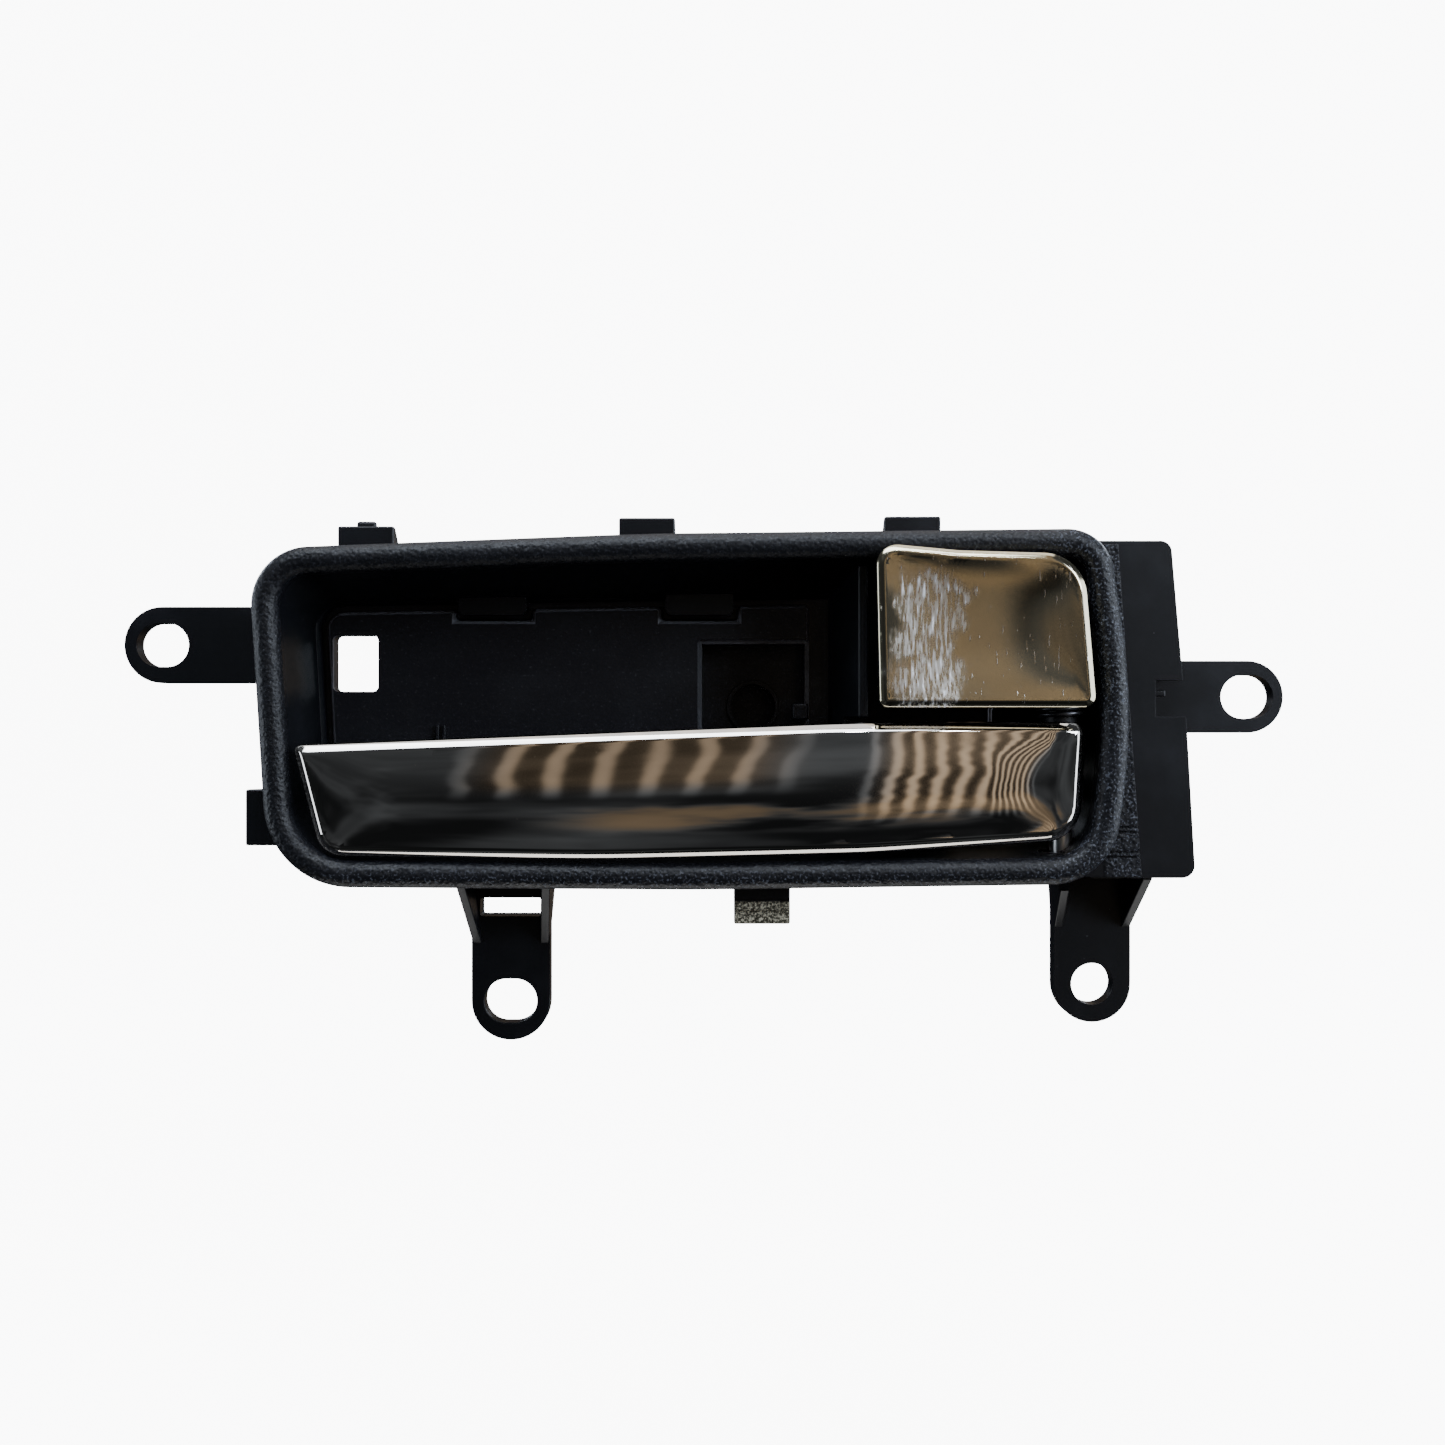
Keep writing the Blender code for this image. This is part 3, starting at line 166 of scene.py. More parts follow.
def block(name, low, high, edge=0.0):
    """A box made from the cube primitive, with rounded edges."""
    deselect()
    bpy.ops.mesh.primitive_cube_add(size=1.0)
    made = bpy.context.active_object
    made.name = name
    for corner in made.data.vertices:
        corner.co = [(low[i] if corner.co[i] < 0.0 else high[i]) * MM for i in range(3)]
    return rounded(made, edge)


def cylinder(name, radius, centre, axis, low, high, edge=0.0):
    """A cylinder primitive along y or z, its rims rounded."""
    deselect()
    bpy.ops.mesh.primitive_cylinder_add(vertices=ROUND_SIDES, radius=radius * MM, depth=(high - low) * MM)
    made = bpy.context.active_object
    made.name = name
    middle = (low + high) / 2.0
    for spot in made.data.vertices:
        x, y, z = spot.co
        if axis == "y":
            spot.co = (x + centre[0] * MM, z + middle * MM, y + centre[1] * MM)
        else:
            spot.co = (x + centre[0] * MM, y + centre[1] * MM, z + middle * MM)
    if axis == "y":
        made.data.flip_normals()
    return rounded(made, edge)


def rounded(piece, edge, segments=3):
    """Rounds the sharp edges by a Bevel that is applied."""
    if edge <= 0.0:
        return piece
    bevel = piece.modifiers.new("Bevel", "BEVEL")
    bevel.width = edge * MM
    bevel.segments = segments
    bevel.limit_method = "ANGLE"
    bevel.angle_limit = math.radians(30.0)
    return applied(piece)


def applied(piece):
    choose(piece)
    for modifier in list(piece.modifiers):
        bpy.ops.object.modifier_apply(modifier=modifier.name)
    return piece


def join_with(target, operation, pieces):
    for other in pieces:
        boolean = target.modifiers.new("Boolean", "BOOLEAN")
        boolean.operation = operation
        boolean.solver = "MANIFOLD"
        boolean.object = other
        applied(target)
        bpy.data.objects.remove(other)
    return target


def add(target, *pieces):
    return join_with(target, "UNION", pieces)


def cut(target, *pieces):
    return join_with(target, "DIFFERENCE", pieces)


def smooth(piece, angle=32.0, flats=True):
    """Smooth shading between the sharp edges; 'flats' keeps the wide faces level up to their rims."""
    choose(piece)
    bpy.ops.object.shade_smooth_by_angle(angle=math.radians(angle), keep_sharp_edges=False)
    if flats:
        weighted = piece.modifiers.new("Weighted", "WEIGHTED_NORMAL")
        weighted.keep_sharp = True
        weighted.weight = 80
        applied(piece)
    return piece


# ---------------------------------------------------------------- shader arithmetic
class Value:
    """A shader socket that can be used in a Python expression."""

    def __init__(self, finish, socket):
        self.finish = finish
        self.socket = socket

    def maths(self, operation, first, second=0.0):
        return self.finish.node("ShaderNodeMath", {"operation": operation}, {0: first, 1: second})

    def __add__(self, other):
        return self.maths("ADD", self, other)

    def __radd__(self, other):
        return self.maths("ADD", other, self)

    def __sub__(self, other):
        return self.maths("SUBTRACT", self, other)

    def __rsub__(self, other):
        return self.maths("SUBTRACT", other, self)

    def __mul__(self, other):
        return self.maths("MULTIPLY", self, other)

    def __rmul__(self, other):
        return self.maths("MULTIPLY", other, self)

    def step(self, low, high):
        """0 below low, 1 above high and a smooth ramp between."""
        return self.finish.node("ShaderNodeMapRange", {"interpolation_type": "SMOOTHSTEP"},
                                {"Value": self, "From Min": low, "From Max": high})


class Finish:
    """One material and the nodes that feed its shader."""

    def __init__(self, name, colour, roughness, metallic=0.0, **constants):
        self.material = bpy.data.materials.new(name)
        self.material.use_nodes = True
        self.tree = self.material.node_tree
        self.shader = self.tree.nodes["Principled BSDF"]
        self.shader.inputs["Base Color"].default_value = (*colour, 1.0)
        self.shader.inputs["Roughness"].default_value = roughness
        self.shader.inputs["Metallic"].default_value = metallic
        for key, value in constants.items():
            self.shader.inputs[key.replace("_", " ")].default_value = value
        self.place = self.node("ShaderNodeTexCoord", {}, {}, "Object")

    def node(self, kind, settings, inputs, output=0):
        made = self.tree.nodes.new(kind)
        for key, value in settings.items():
            setattr(made, key, value)
        for key, value in inputs.items():
            if isinstance(value, Value):
                self.tree.links.new(value.socket, made.inputs[key])
            else:
                made.inputs[key].default_value = value
        return Value(self, made.outputs[output])

    def axis(self, name):
        """One coordinate of the piece, in millimetres."""
        return self.node("ShaderNodeSeparateXYZ", {}, {0: self.place}, name) * (1.0 / MM)

    def stretched(self, scale, turn=(0.0, 0.0, 0.0)):
        return self.node("ShaderNodeMapping", {}, {"Vector": self.place, "Rotation": turn, "Scale": scale})

    def noise(self, scale, detail=2.0, vector=None):
        inputs = {"Vector": vector or self.place, "Scale": scale, "Detail": detail, "Roughness": 0.5}
        return self.node("ShaderNodeTexNoise", {}, inputs, "Fac")

    def cells(self, scale, feature="F1"):
        inputs = {"Vector": self.place, "Scale": scale}
        return self.node("ShaderNodeTexVoronoi", {"feature": feature}, inputs, "Distance")

    def blend(self, share, first, second):
        mix = self.tree.nodes.new("ShaderNodeMix")
        mix.data_type = "RGBA"
        for index, value in ((0, share), (6, first), (7, second)):
            if isinstance(value, Value):
                self.tree.links.new(value.socket, mix.inputs[index])
            else:
                mix.inputs[index].default_value = (*value, 1.0) if index else value
        return Value(self, mix.outputs[2])

    def feed(self, name, value):
        self.tree.links.new(value.socket, self.shader.inputs[name])

    def relief(self, height, distance):
        """Bumps the surface by height times distance, in millimetres."""
        inputs = {"Height": height, "Distance": distance * MM, "Strength": 1.0}
        self.feed("Normal", self.node("ShaderNodeBump", {}, inputs, "Normal"))


def paint(piece, finish):
    piece.data.materials.clear()
    piece.data.materials.append(finish.material)
    return piece


# ---------------------------------------------------------------- sizes, in millimetres
SKIM = 0.05                          # keeps joined faces out of one plane
RIM = [(-72.6, -30.3, 15, 20), (0, -30.8, 500, 3), (71.8, -29.8, 12, 20), (76, -1, 110, 12),
       (71.2, 31.2, 8, 16), (-8, 30.3, 600, 3), (-76.2, 27.7, 10, 18)]
RECESS = [(-67.6, -23.6, 9, 20), (0, -24.1, 500, 3), (68, -23.2, 7, 20), (71, -1, 110, 12),
          (69, 22, 5, 16), (-8, 21, 600, 3), (-69.9, 20, 5, 18)]
LEVER = [(-63.5, -24.9, 5, 14), (-16, -25.4, 400, 3), (30, -24.3, 200, 3), (66.4, -22.1, 6.5, 16),
         (67.8, -2, 2, 8), (30, -2, 400, 2), (-68.5, -5.9, 1.2, 6)]
KNOB = [(31.6, 0.4, 1.5, 8), (68.2, 0.4, 2, 8), (66, 26.3, 7.5, 18), (45, 26.9, 30, 8), (31, 28.2, 3.5, 14)]
RIM_WIDTH, RIM_STEP, RIM_CREST = 4.7, 1.2, 2.3
WALL, DEPTH, LEDGE = 2.2, 19.5, 0.6
TONGUES = (-37.0, 1.0)               # where the tongues stand along x
WELL = (10.9, 0.9)                   # the well's screw hole, in x and z
PIN = Vector(frame["joints"][0]["pos_m"]) / MM


# ---------------------------------------------------------------- housing
def ring(corners, inset, y):
    return [(p.x, y, p.y) for p in outline(corners, inset)]


def bezel():
    """The rim's round bead, the walls behind it and the small ledge at their foot."""
    rings = [ring(RIM, 0.0, 0.0)]
    steps = 16
    for step in range(steps + 1):
        angle = math.pi * step / steps
        inset = RIM_WIDTH * (1.0 - math.cos(angle)) / 2.0
        rings.append(ring(RIM, inset, -RIM_STEP - RIM_CREST * math.sin(angle)))
    for inset, y in ((0.0, 17.0), (0.2, 17.25), (0.45, 17.6), (LEDGE, 18.2), (LEDGE, DEPTH)):
        rings.append(ring(RECESS, inset, y))
    rings.append(ring(RECESS, -WALL, DEPTH))
    rings.append(ring(RIM, RIM_WIDTH - WALL, 0.0))
    return loft("bezel", rings, closed=True)


def recess_space():
    """What is cut away in front of the recess's walls and between them."""
    mouth, foot = RIM_WIDTH + SKIM, LEDGE + SKIM
    return loft("recess_space", [
        ring(RIM, mouth, -10.0),
        ring(RIM, mouth, -RIM_STEP),
        ring(RECESS, SKIM, 17.0),
        ring(RECESS, foot, 18.2),
        ring(RECESS, foot, 30.0)])


def slotted(x, z, radius, longer):
    """A round hole's outline, drawn longer along x."""
    points = []
    for step in range(SLOT_SIDES):
        angle = math.tau * (step + 0.5) / SLOT_SIDES
        px, pz = radius * math.cos(angle), radius * math.sin(angle)
        points.append((x + px + math.copysign(longer / 2.0, px), z + pz))
    return points


def screw_tab(tip, root, half, longer, lower):
    """A flat tab with a round end about its hole, and softened edges."""
    points = []
    for step in range(33):
        angle = math.pi * step / 32
        if lower:
            points.append((tip[0] - half * math.cos(angle), tip[1] - half * math.sin(angle)))
        else:
            side = math.copysign(1.0, tip[0] - root)
            points.append((tip[0] + side * half * math.sin(angle), tip[1] - half * math.cos(angle)))
    if lower:
        points += [(tip[0] + half, root), (tip[0] - half, root)]
    else:
        points += [(root, tip[1] + half), (root, tip[1] - half)]
    tab = plate("tab", points, DEPTH - 3.5, DEPTH)
    cut(tab, plate("hole", slotted(*tip, 3.8 + (0.2 if longer else 0.0), longer), 10.0, 25.0))
    return rounded(tab, 0.35)


def leaning_rib(x_foot, x_head, thick, profile):
    """A rib beside a lower tab that leans out towards the rim; the profile is (y, z, lean)."""
    rings = []
    for side in (-thick / 2.0, thick / 2.0):
        rings.append([(x_foot + (x_head - x_foot) * lean + side, y, z) for y, z, lean in profile])
    return rounded(loft("rib", rings), 0.25)


def tabs_and_ribs(housing):
    add(housing,
        screw_tab((-97.4, 12.1), -71.0, 7.0, 1.6, False),
        screw_tab((101.3, 2.6), 72.1, 6.6, 1.6, False),
        screw_tab((-33.6, -53.1), -24.7, 7.2, 1.6, True),
        screw_tab((72.9, -50.0), -24.7, 7.0, 0.0, True))
    for tip_x, foot, lean in ((-33.6, -43.0, 1.6), (72.9, -40.0, 1.0)):
        for side in (-1.0, 1.0):
            x = tip_x + side * 6.1
            head = ((19.0, -24.7, 1.0), (5.0, -27.7, 1.0), (5.0, -29.7, 1.0))
            profile = head + ((16.5, foot, 0.0), (19.0, foot, 0.0))
            add(housing, leaning_rib(x, x + side * lean, 1.6, profile))
    profile = ((78.9, 5.5), (85.1, 5.5), (90.5, 18.5), (78.9, 18.5))
    add(housing, prism_z("rib", profile, 7.0, 8.6, 0.25))


def flange(housing):
    """The flange on the right, and the grained step between it and the rim."""
    corners = [(70, -29.4, 0.1, 1), (88.2, -29.4, 2.2, 12), (86.7, -3, 300, 2),
               (83.9, 29.8, 2, 12), (70, 29.8, 0.1, 1)]
    sheet = plate("flange", outline(corners), 4.5, 7.0)
    cut(sheet, block("notch", (81.2, 0.0, -1.1), (90.0, 9.0, 5.3)))
    add(housing, rounded(sheet, 0.25))
    step = plate("step", ((62, -28.9), (77.9, -28.9), (73.8, 28.8), (62, 28.8)), 1.4, 5.1)
    for z in (-20.3, -21.2, -24.6, -25.5):
        cut(step, block("groove", (60.0, 0.0, z - 0.22), (80.0, 1.9, z + 0.22)))
    add(housing, rounded(step, 0.12, 2))
    add(housing, block("nub", (81.0, 6.0, 2.4), (83.4, 8.0, 3.6), 0.3))
    for z in (-16.5, 18.5):
        add(housing, cylinder("screw_boss", 4.0, (78.8, z), "y", 6.4, 12.0, 0.3))
        cut(housing, cylinder("screw_hole", 2.3, (78.8, z), "y", 5.7, 13.0))


def snap_hook(edge, reach, side):
    root = edge - side * 5.0
    return ((3.2, root), (3.2, edge + side * reach), (4.8, edge + side * reach), (9.4, edge), (12.4, root))


def snap_hooks(housing):
    for x in (-57.1, -8.0, 38.4):
        edge = 29.6 + min(x, 0.0) * 0.03
        add(housing, prism_x("hook", snap_hook(edge, 4.3, 1.0), x - 4.9, x + 4.9, 0.35))
    add(housing, block("hook_bump", (-58.8, 3.6, 30.0), (-55.4, 5.0, 33.1), 0.5))
    low = prism_x("hook", snap_hook(-30.3, 7.0, -1.0), 7.2, 17.0, 0.35)
    for z in (-33.0, -35.1):
        cut(low, block("groove", (0.0, 2.0, z - 0.25), (25.0, 3.7, z + 0.25)))
    add(housing, low)
    profile = [(distance, y) for y, distance in snap_hook(-73.8, 4.3, -1.0)]
    add(housing, prism_z("hook", profile, -23.6, -13.8, 0.35))


def divider(housing):
    """The sloped divider wall, with its lower half standing back behind the lever."""
    def section(left_front, left_back, right, front, back, z_front, z_back):
        return [(left_front, front, z_front), (right, front, z_front),
                (right, back, z_back), (left_back, back, z_back)]

    back = DEPTH - SKIM
    upper = loft("divider", [section(28.9, 24.8, 30.6, 2.5, back, -1.3, -1.3),
                             section(28.9, 24.8, 30.6, 2.5, back, 26.5, 22.8)])
    lower = loft("divider", [section(26.97, 24.85, 30.55, 10.5, 19.4, -25.8, -24.7),
                             section(26.97, 24.85, 30.55, 10.5, 19.4, -0.9, -0.9)])
    add(housing, rounded(upper, 0.4), lower)


def hub_chamber(housing):
    wall = plate("back_wall", outline(RECESS, -0.77), DEPTH - 2.2, DEPTH - SKIM)
    cut(wall, block("trim", (-200.0, 0.0, -100.0), (25.9, 40.0, 100.0)))
    for z in (-13.5, 17.0):
        cut(wall, block("arm_slot", (48.0, 0.0, z - 4.5), (68.6, 40.0, z + 4.5)))
    add(housing, rounded(wall, 0.2, 2))


def tongues(housing):
    """The tongues that hold down the floor's upper edge."""
    for x in TONGUES:
        left, right = x - 6.2, x + 6.2
        corners = [(left, 17.6, 1.2, 6), (right, 17.6, 1.2, 6), (right, 22.6, 0.1, 1), (left, 22.6, 0.1, 1)]
        add(housing, plate("tongue", outline(corners), 16.0, 17.5, 0.3))


def pin_bosses(housing):
    centre = (PIN.x, PIN.y)
    add(housing, cylinder("boss", 5.8, centre, "z", 22.0, 28.6, 0.3))
    add(housing, cylinder("boss", 5.8, centre, "z", -28.0, -22.5, 0.3))


def build_housing(finish):
    housing = bezel()
    pin_bosses(housing)
    flange(housing)
    tabs_and_ribs(housing)
    snap_hooks(housing)
    cut(housing, recess_space())
    divider(housing)
    hub_chamber(housing)
    tongues(housing)
    cut(housing, block("tab_window", (-39.2, 15.0, -37.6), (-28.0, 19.6, -34.2), 0.5))
    centre = (PIN.x, PIN.y)
    bores = ((3.9, 25.1, 28.7), (3.9, -28.1, -24.5), (2.3, -28.0, 28.6),
             (3.9, 28.6, 32.6), (4.6, -32.0, -28.0))
    for radius, low, high in bores:
        cut(housing, cylinder("bore", radius, centre, "z", low, high))
    housing.name = "bezel_moulding"
    return smooth(paint(housing, finish))


# ---------------------------------------------------------------- recess floor
def build_recess_floor(finish):
    """The floor plate: a raised face with soft edges, a window and a stepped screw well."""
    seat = DEPTH + 0.3
    floor = plate("floor_plate", outline(RECESS, -1.4), seat, seat + 2.2)
    raised = plate("raised", outline(RECESS, 1.8), seat - 2.0, seat + 0.5)
    cut(raised, block("trim", (21.2, 0.0, -100.0), (200.0, 40.0, 100.0)))
    for x in TONGUES:
        cut(raised, block("relief", (x - 7.1, 0.0, 16.7), (x + 7.1, seat + 0.1, 40.0)))
    add(floor, rounded(raised, 0.8))
    cut(floor, block("trim", (26.8, 0.0, -100.0), (200.0, 40.0, 100.0)))
    cup = [(-0.6, -9.6, 2, 8), (22.4, -9.6, 2, 8), (22.4, 14.4, 2, 8), (-0.6, 14.4, 2, 8)]
    add(floor, plate("cup", outline(cup), seat + 0.4, seat + 6.0, 0.3))
    cut(floor, plate("pocket", outline(cup, 1.2), -50.0, seat - 1.2))
    cut(floor, plate("pocket", outline(cup, 2.0), -50.0, seat + 4.0))
    add(floor, cylinder("boss", 6.2, WELL, "y", seat + 5.5, seat + 12.0, 0.3))
    add(floor, cylinder("ring", 5.0, WELL, "y", seat + 3.5, seat + 5.0, 0.15))
    cut(floor, cylinder("hole", 4.2, WELL, "y", 0.0, seat + 10.0))
    window = [(-66.7, 3.6, 1, 6), (-58.3, 3.6, 1, 6), (-58.3, 14.0, 1, 6), (-66.7, 14.0, 1, 6)]
    cut(floor, plate("window", outline(window), 0.0, 60.0))
    add(floor, block("block", (18.0, 15.2, -1.6), (20.9, seat - 1.7, 1.4), 0.4))
    for x in (-47.3, -46.1):
        add(floor, block("rib", (x - 0.3, 17.0, -6.5), (x + 0.3, seat - 1.5, -2.6), 0.15))
    return smooth(paint(floor, finish))


# ---------------------------------------------------------------- chromed faces
def lever_bow(x):
    """The lever bows towards the hand along its length, and curls back over the hinge."""
    left, right = LEVER[-1][0], LEVER[4][0]
    share = (x - (left + right) / 2.0) / ((right - left) / 2.0)
    curl = max(0.0, 1.0 - (right - x) / 6.5)
    return 0.9 * curl * curl - 1.5 * (1.0 - min(1.0, share * share))


def span_at(points, across, axis):
    """The lowest and highest place where a straight line crosses an outline."""
    other = 1 - axis
    crossings = []
    for index, here in enumerate(points):
        after = points[(index + 1) % len(points)]
        if (here[axis] - across) * (after[axis] - across) <= 0.0 and here[axis] != after[axis]:
            share = (across - here[axis]) / (after[axis] - here[axis])
            crossings.append(here[other] + share * (after[other] - here[other]))
    return (min(crossings), max(crossings)) if len(crossings) > 1 else (0.0, 0.0)


def share_between(value, low, high):
    return min(1.0, max(0.0, (value - low) / (high - low))) if high > low else 0.0


def chromed_face(name, corners, back_rings, edge_rings, crown, bow, spacing, cells):
    """A hollow pressed shell: its inside, its rolled edge and a crowned face made of small squares."""
    whole = outline(corners)
    mesh_data = bmesh.new()
    rows = []
    for inset, y in back_rings + edge_rings:
        row = spaced(outline(corners, inset), spacing, whole)
        rows.append([mesh_data.verts.new((p.x * MM, (y + bow(p.x)) * MM, p.y * MM)) for p in row])
    inside = mesh_data.faces.new(rows[0])
    for low, high in zip(rows, rows[1:]):
        for index in range(len(low)):
            after = (index + 1) % len(low)
            mesh_data.faces.new((low[index], low[after], high[after], high[index]))
    bmesh.ops.triangulate(mesh_data, faces=[inside])
    inset, face_y = edge_rings[-1]
    inner = spaced(outline(corners, inset), spacing, whole)
    patch = bmesh.new()
    patch.faces.new([patch.verts.new((p.x * MM, 0.0, p.y * MM)) for p in inner])
    for axis in (0, 1):
        low, high = min(p[axis] for p in inner), max(p[axis] for p in inner)
        count = round((high - low) / cells)
        normal = ((1, 0, 0), (0, 0, 1))[axis]
        for step in range(1, count):
            spot = (Vector(normal) * (low + (high - low) * step / count)) * MM
            bmesh.ops.bisect_plane(patch, geom=patch.verts[:] + patch.edges[:] + patch.faces[:],
                                   plane_co=spot, plane_no=normal)
    for vertex in patch.verts:
        x, z = vertex.co.x / MM, vertex.co.z / MM
        along = share_between(x, *span_at(inner, z, 1))
        across = share_between(z, *span_at(inner, x, 0))
        vertex.co.y = (face_y + bow(x) + crown(along, across)) * MM
    face_mesh = bpy.data.meshes.new("patch")
    patch.to_mesh(face_mesh)
    patch.free()
    mesh_data.from_mesh(face_mesh)
    bpy.data.meshes.remove(face_mesh)
    bmesh.ops.remove_doubles(mesh_data, verts=mesh_data.verts, dist=0.02 * MM)
    return from_mesh(name, mesh_data)


def build_lever_shell(finish):
    def crown(along, across):
        ends = 1.0 - (1.0 - min(1.0, min(along, 1.0 - along) * 9.0)) ** 2
        return -1.0 * 4.0 * across * (1.0 - across) * ends

    hollow = [(8.0, -2.5), (3.4, -1.8), (1.9, -0.9), (1.4, 0.2)]
    edge = [(0.25, 0.2), (0.05, 0.1), (0.0, -0.1), (0.0, -1.6), (0.04, -1.8), (0.13, -1.97), (0.28, -2.12),
            (1.2, -2.82), (1.4, -2.94), (1.6, -3.03), (1.9, -3.12)]
    made = chromed_face("lever_chrome", LEVER, hollow, edge, crown, lever_bow, 1.2, 1.0)
    return smooth(paint(made, finish), 50.0, False)


def build_lock_cap(finish):
    def crown(along, across):
        return 1.15 * (1.0 - abs(2.0 * along - 1.0) ** 2.6) * (1.0 - abs(2.0 * across - 1.0) ** 2.6)

    hollow = [(11.0, -4.5), (2.2, -5.0), (1.4, -4.0)]
    edge = [(0.2, -4.0), (0.05, -4.1), (0.0, -4.3), (0.0, -6.1), (0.04, -6.25), (0.12, -6.38), (0.25, -6.5),
            (0.95, -6.9), (1.2, -6.98), (1.45, -6.98), (1.8, -6.85)]
    made = chromed_face("knob_chrome", KNOB, hollow, edge, crown, lambda x: 0.0, 1.0, 0.8)
    return smooth(paint(made, finish), 50.0, False)


# ---------------------------------------------------------------- springs
def build_return_spring(finish):
    """The lever's coil spring as one fine wire with its two legs."""
    low, high = (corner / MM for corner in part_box("return_spring"))
    wire = 0.42
    radius = 3.2 + 0.3 + wire
    turns, pitch, start = 3, 0.98, -1.35
    points = [Vector((PIN.x + radius, high.y - wire, start))]
    per_turn = 40
    for step in range(round((turns - 0.5) * per_turn) + 1):
        angle = math.tau * step / per_turn
        points.append(Vector((PIN.x + radius * math.cos(angle), PIN.y + radius * math.sin(angle),
                              start + pitch * step / per_turn)))
    end = points[-1]
    points += [Vector((end.x - 1.0, end.y + 2.0, end.z)), Vector((PIN.x - 12.0, 0.0, end.z))]
    leg_y = 3.0 + lever_bow(PIN.x - 12.0) + 0.6 + wire
    points[-1].y = leg_y
    points += [Vector((PIN.x - 12.6, leg_y, end.z - 1.0)), Vector((PIN.x - 12.6, leg_y, low.z + wire))]
    curve = bpy.data.curves.new("lever_spring_wire", "CURVE")
    curve.dimensions = "3D"
    curve.bevel_depth = wire * MM
    curve.bevel_resolution = 4
    curve.use_fill_caps = True
    spline = curve.splines.new("POLY")
    spline.points.add(len(points) - 1)
    for target, point in zip(spline.points, points):
        target.co = (*(point * MM), 1.0)
    made = bpy.data.objects.new("lever_spring_wire", curve)
    bpy.context.scene.collection.objects.link(made)
    choose(made)
    bpy.ops.object.convert(target="MESH")
    made = bpy.context.view_layer.objects.active
    return smooth(paint(made, finish), 60.0)


# ---------------------------------------------------------------- the other parts
def softened(node, name, edge, finish):
    """A copy of a plain CAD part with its facets joined and its edges eased."""
    source = frame["nodes"][node]
    made = bpy.data.objects.new(name, source.data.copy())
    bpy.context.scene.collection.objects.link(made)
    mesh_data = bmesh.new()
    mesh_data.from_mesh(made.data)
    bmesh.ops.remove_doubles(mesh_data, verts=mesh_data.verts, dist=0.002 * MM)
    bmesh.ops.dissolve_limit(mesh_data, angle_limit=math.radians(1.0), verts=mesh_data.verts,
                             edges=mesh_data.edges)
    bmesh.ops.recalc_face_normals(mesh_data, faces=mesh_data.faces)
    mesh_data.to_mesh(made.data)
    mesh_data.free()
    rounded(made, edge, 2)
    return smooth(paint(made, finish), 40.0)


# ---------------------------------------------------------------- materials
def moulded_plastic():
    """Black moulding: pebbled grain on the rim and the step, satin everywhere else; painted highlights as
    light grey sparkles on the grain's crests, stronger towards the right and the bottom, and pale glints on
    the lower hook's front.
    """
    finish = Finish("black_moulded_plastic", (0.006, 0.0065, 0.009), 0.4, Specular_IOR_Level=0.36)
    x, y, z = (finish.axis(name) for name in "XYZ")
    on_rim = 1.0 - y.step(-1.2, -0.5)
    on_step = x.step(71.0, 72.0) * (1.0 - y.step(1.8, 2.2)) * (1.0 - on_rim)
    hook_front = (1.0 - z.step(-33.6, -33.2)) * (1.0 - y.step(3.7, 4.2))
    on_hook = hook_front * (1.0 - x.step(18.0, 20.0)) * x.step(4.0, 6.0)
    grained = on_rim + on_step + on_hook
    pebbles = finish.cells(1600.0, "SMOOTH_F1") * 1.6 + finish.noise(3000.0, 1.0) * 0.5
    # Painted highlights: light grey sparkles on the grain's crests, stronger on the right and the bottom,
    # where the light falls.
    painted_glint_crests = finish.noise(2300.0, 1.0).step(0.55, 0.68) * (on_rim + on_step)
    lit_side = 0.15 + 0.65 * (x.step(55.0, 68.0) + (1.0 - z.step(-30.0, -26.0))).step(0.0, 1.0)
    fine = finish.noise(9000.0, 2.0)
    finish.relief(pebbles * grained + fine * 0.04, 0.1)
    wear = finish.noise(90.0, 4.0).step(0.45, 0.75)
    dust = finish.cells(330.0).step(0.02, 0.05)
    dusted = (1.0 - dust) * 0.6 * finish.noise(40.0, 2.0).step(0.5, 0.6)
    rubbed = finish.blend(wear * 0.5, (0.004, 0.0045, 0.0065), (0.008, 0.0085, 0.0125))
    # The painted sparkle highlights on the crests are blended into the colour here.
    painted_sparkle = finish.blend(painted_glint_crests * lit_side, rubbed, (0.1, 0.11, 0.135))
    dusty = finish.blend(dusted, painted_sparkle, (0.16, 0.16, 0.17))
    # Painted highlights: pale glints over a brownish base on the lower hook's front.
    glints = finish.noise(3300.0, 2.0).step(0.42, 0.66)
    hook = finish.blend(glints, (0.05, 0.045, 0.03), (0.62, 0.58, 0.44))
    finish.feed("Base Color", finish.blend(on_hook, dusty, hook))
    finish.feed("Roughness", 0.36 + grained * 0.06 + wear * 0.08 + fine * 0.06)
    return finish


def floor_plastic():
    """The recess floor: satin black with a fine speckle of dust and rubbed spots, and a painted highlight
    band at the raised face's front edge.
    """
    finish = Finish("satin_floor_plastic", (0.01, 0.0105, 0.014), 0.42, Specular_IOR_Level=0.4)
    speckle = finish.noise(1900.0, 3.0).step(0.62, 0.74)
    rubbed = finish.noise(60.0, 4.0).step(0.4, 0.7)
    y = finish.axis("Y")
    # Painted highlight: a pale band at the depth of the raised face's front and rounded edge, standing in
    # for the light that edge catches.
    painted_edge_highlight = y.step(DEPTH - 1.68, DEPTH - 1.6) * (1.0 - y.step(DEPTH - 1.1, DEPTH - 0.6))
    dark = finish.blend(painted_edge_highlight, (0.008, 0.0085, 0.0125), (0.12, 0.125, 0.145))
    finish.feed("Base Color", finish.blend(speckle * 0.6, dark, (0.05, 0.05, 0.058)))
    finish.feed("Roughness", 0.38 + rubbed * 0.14 + speckle * 0.2)
    finish.relief(finish.noise(2600.0, 2.0), 0.03)
    return finish


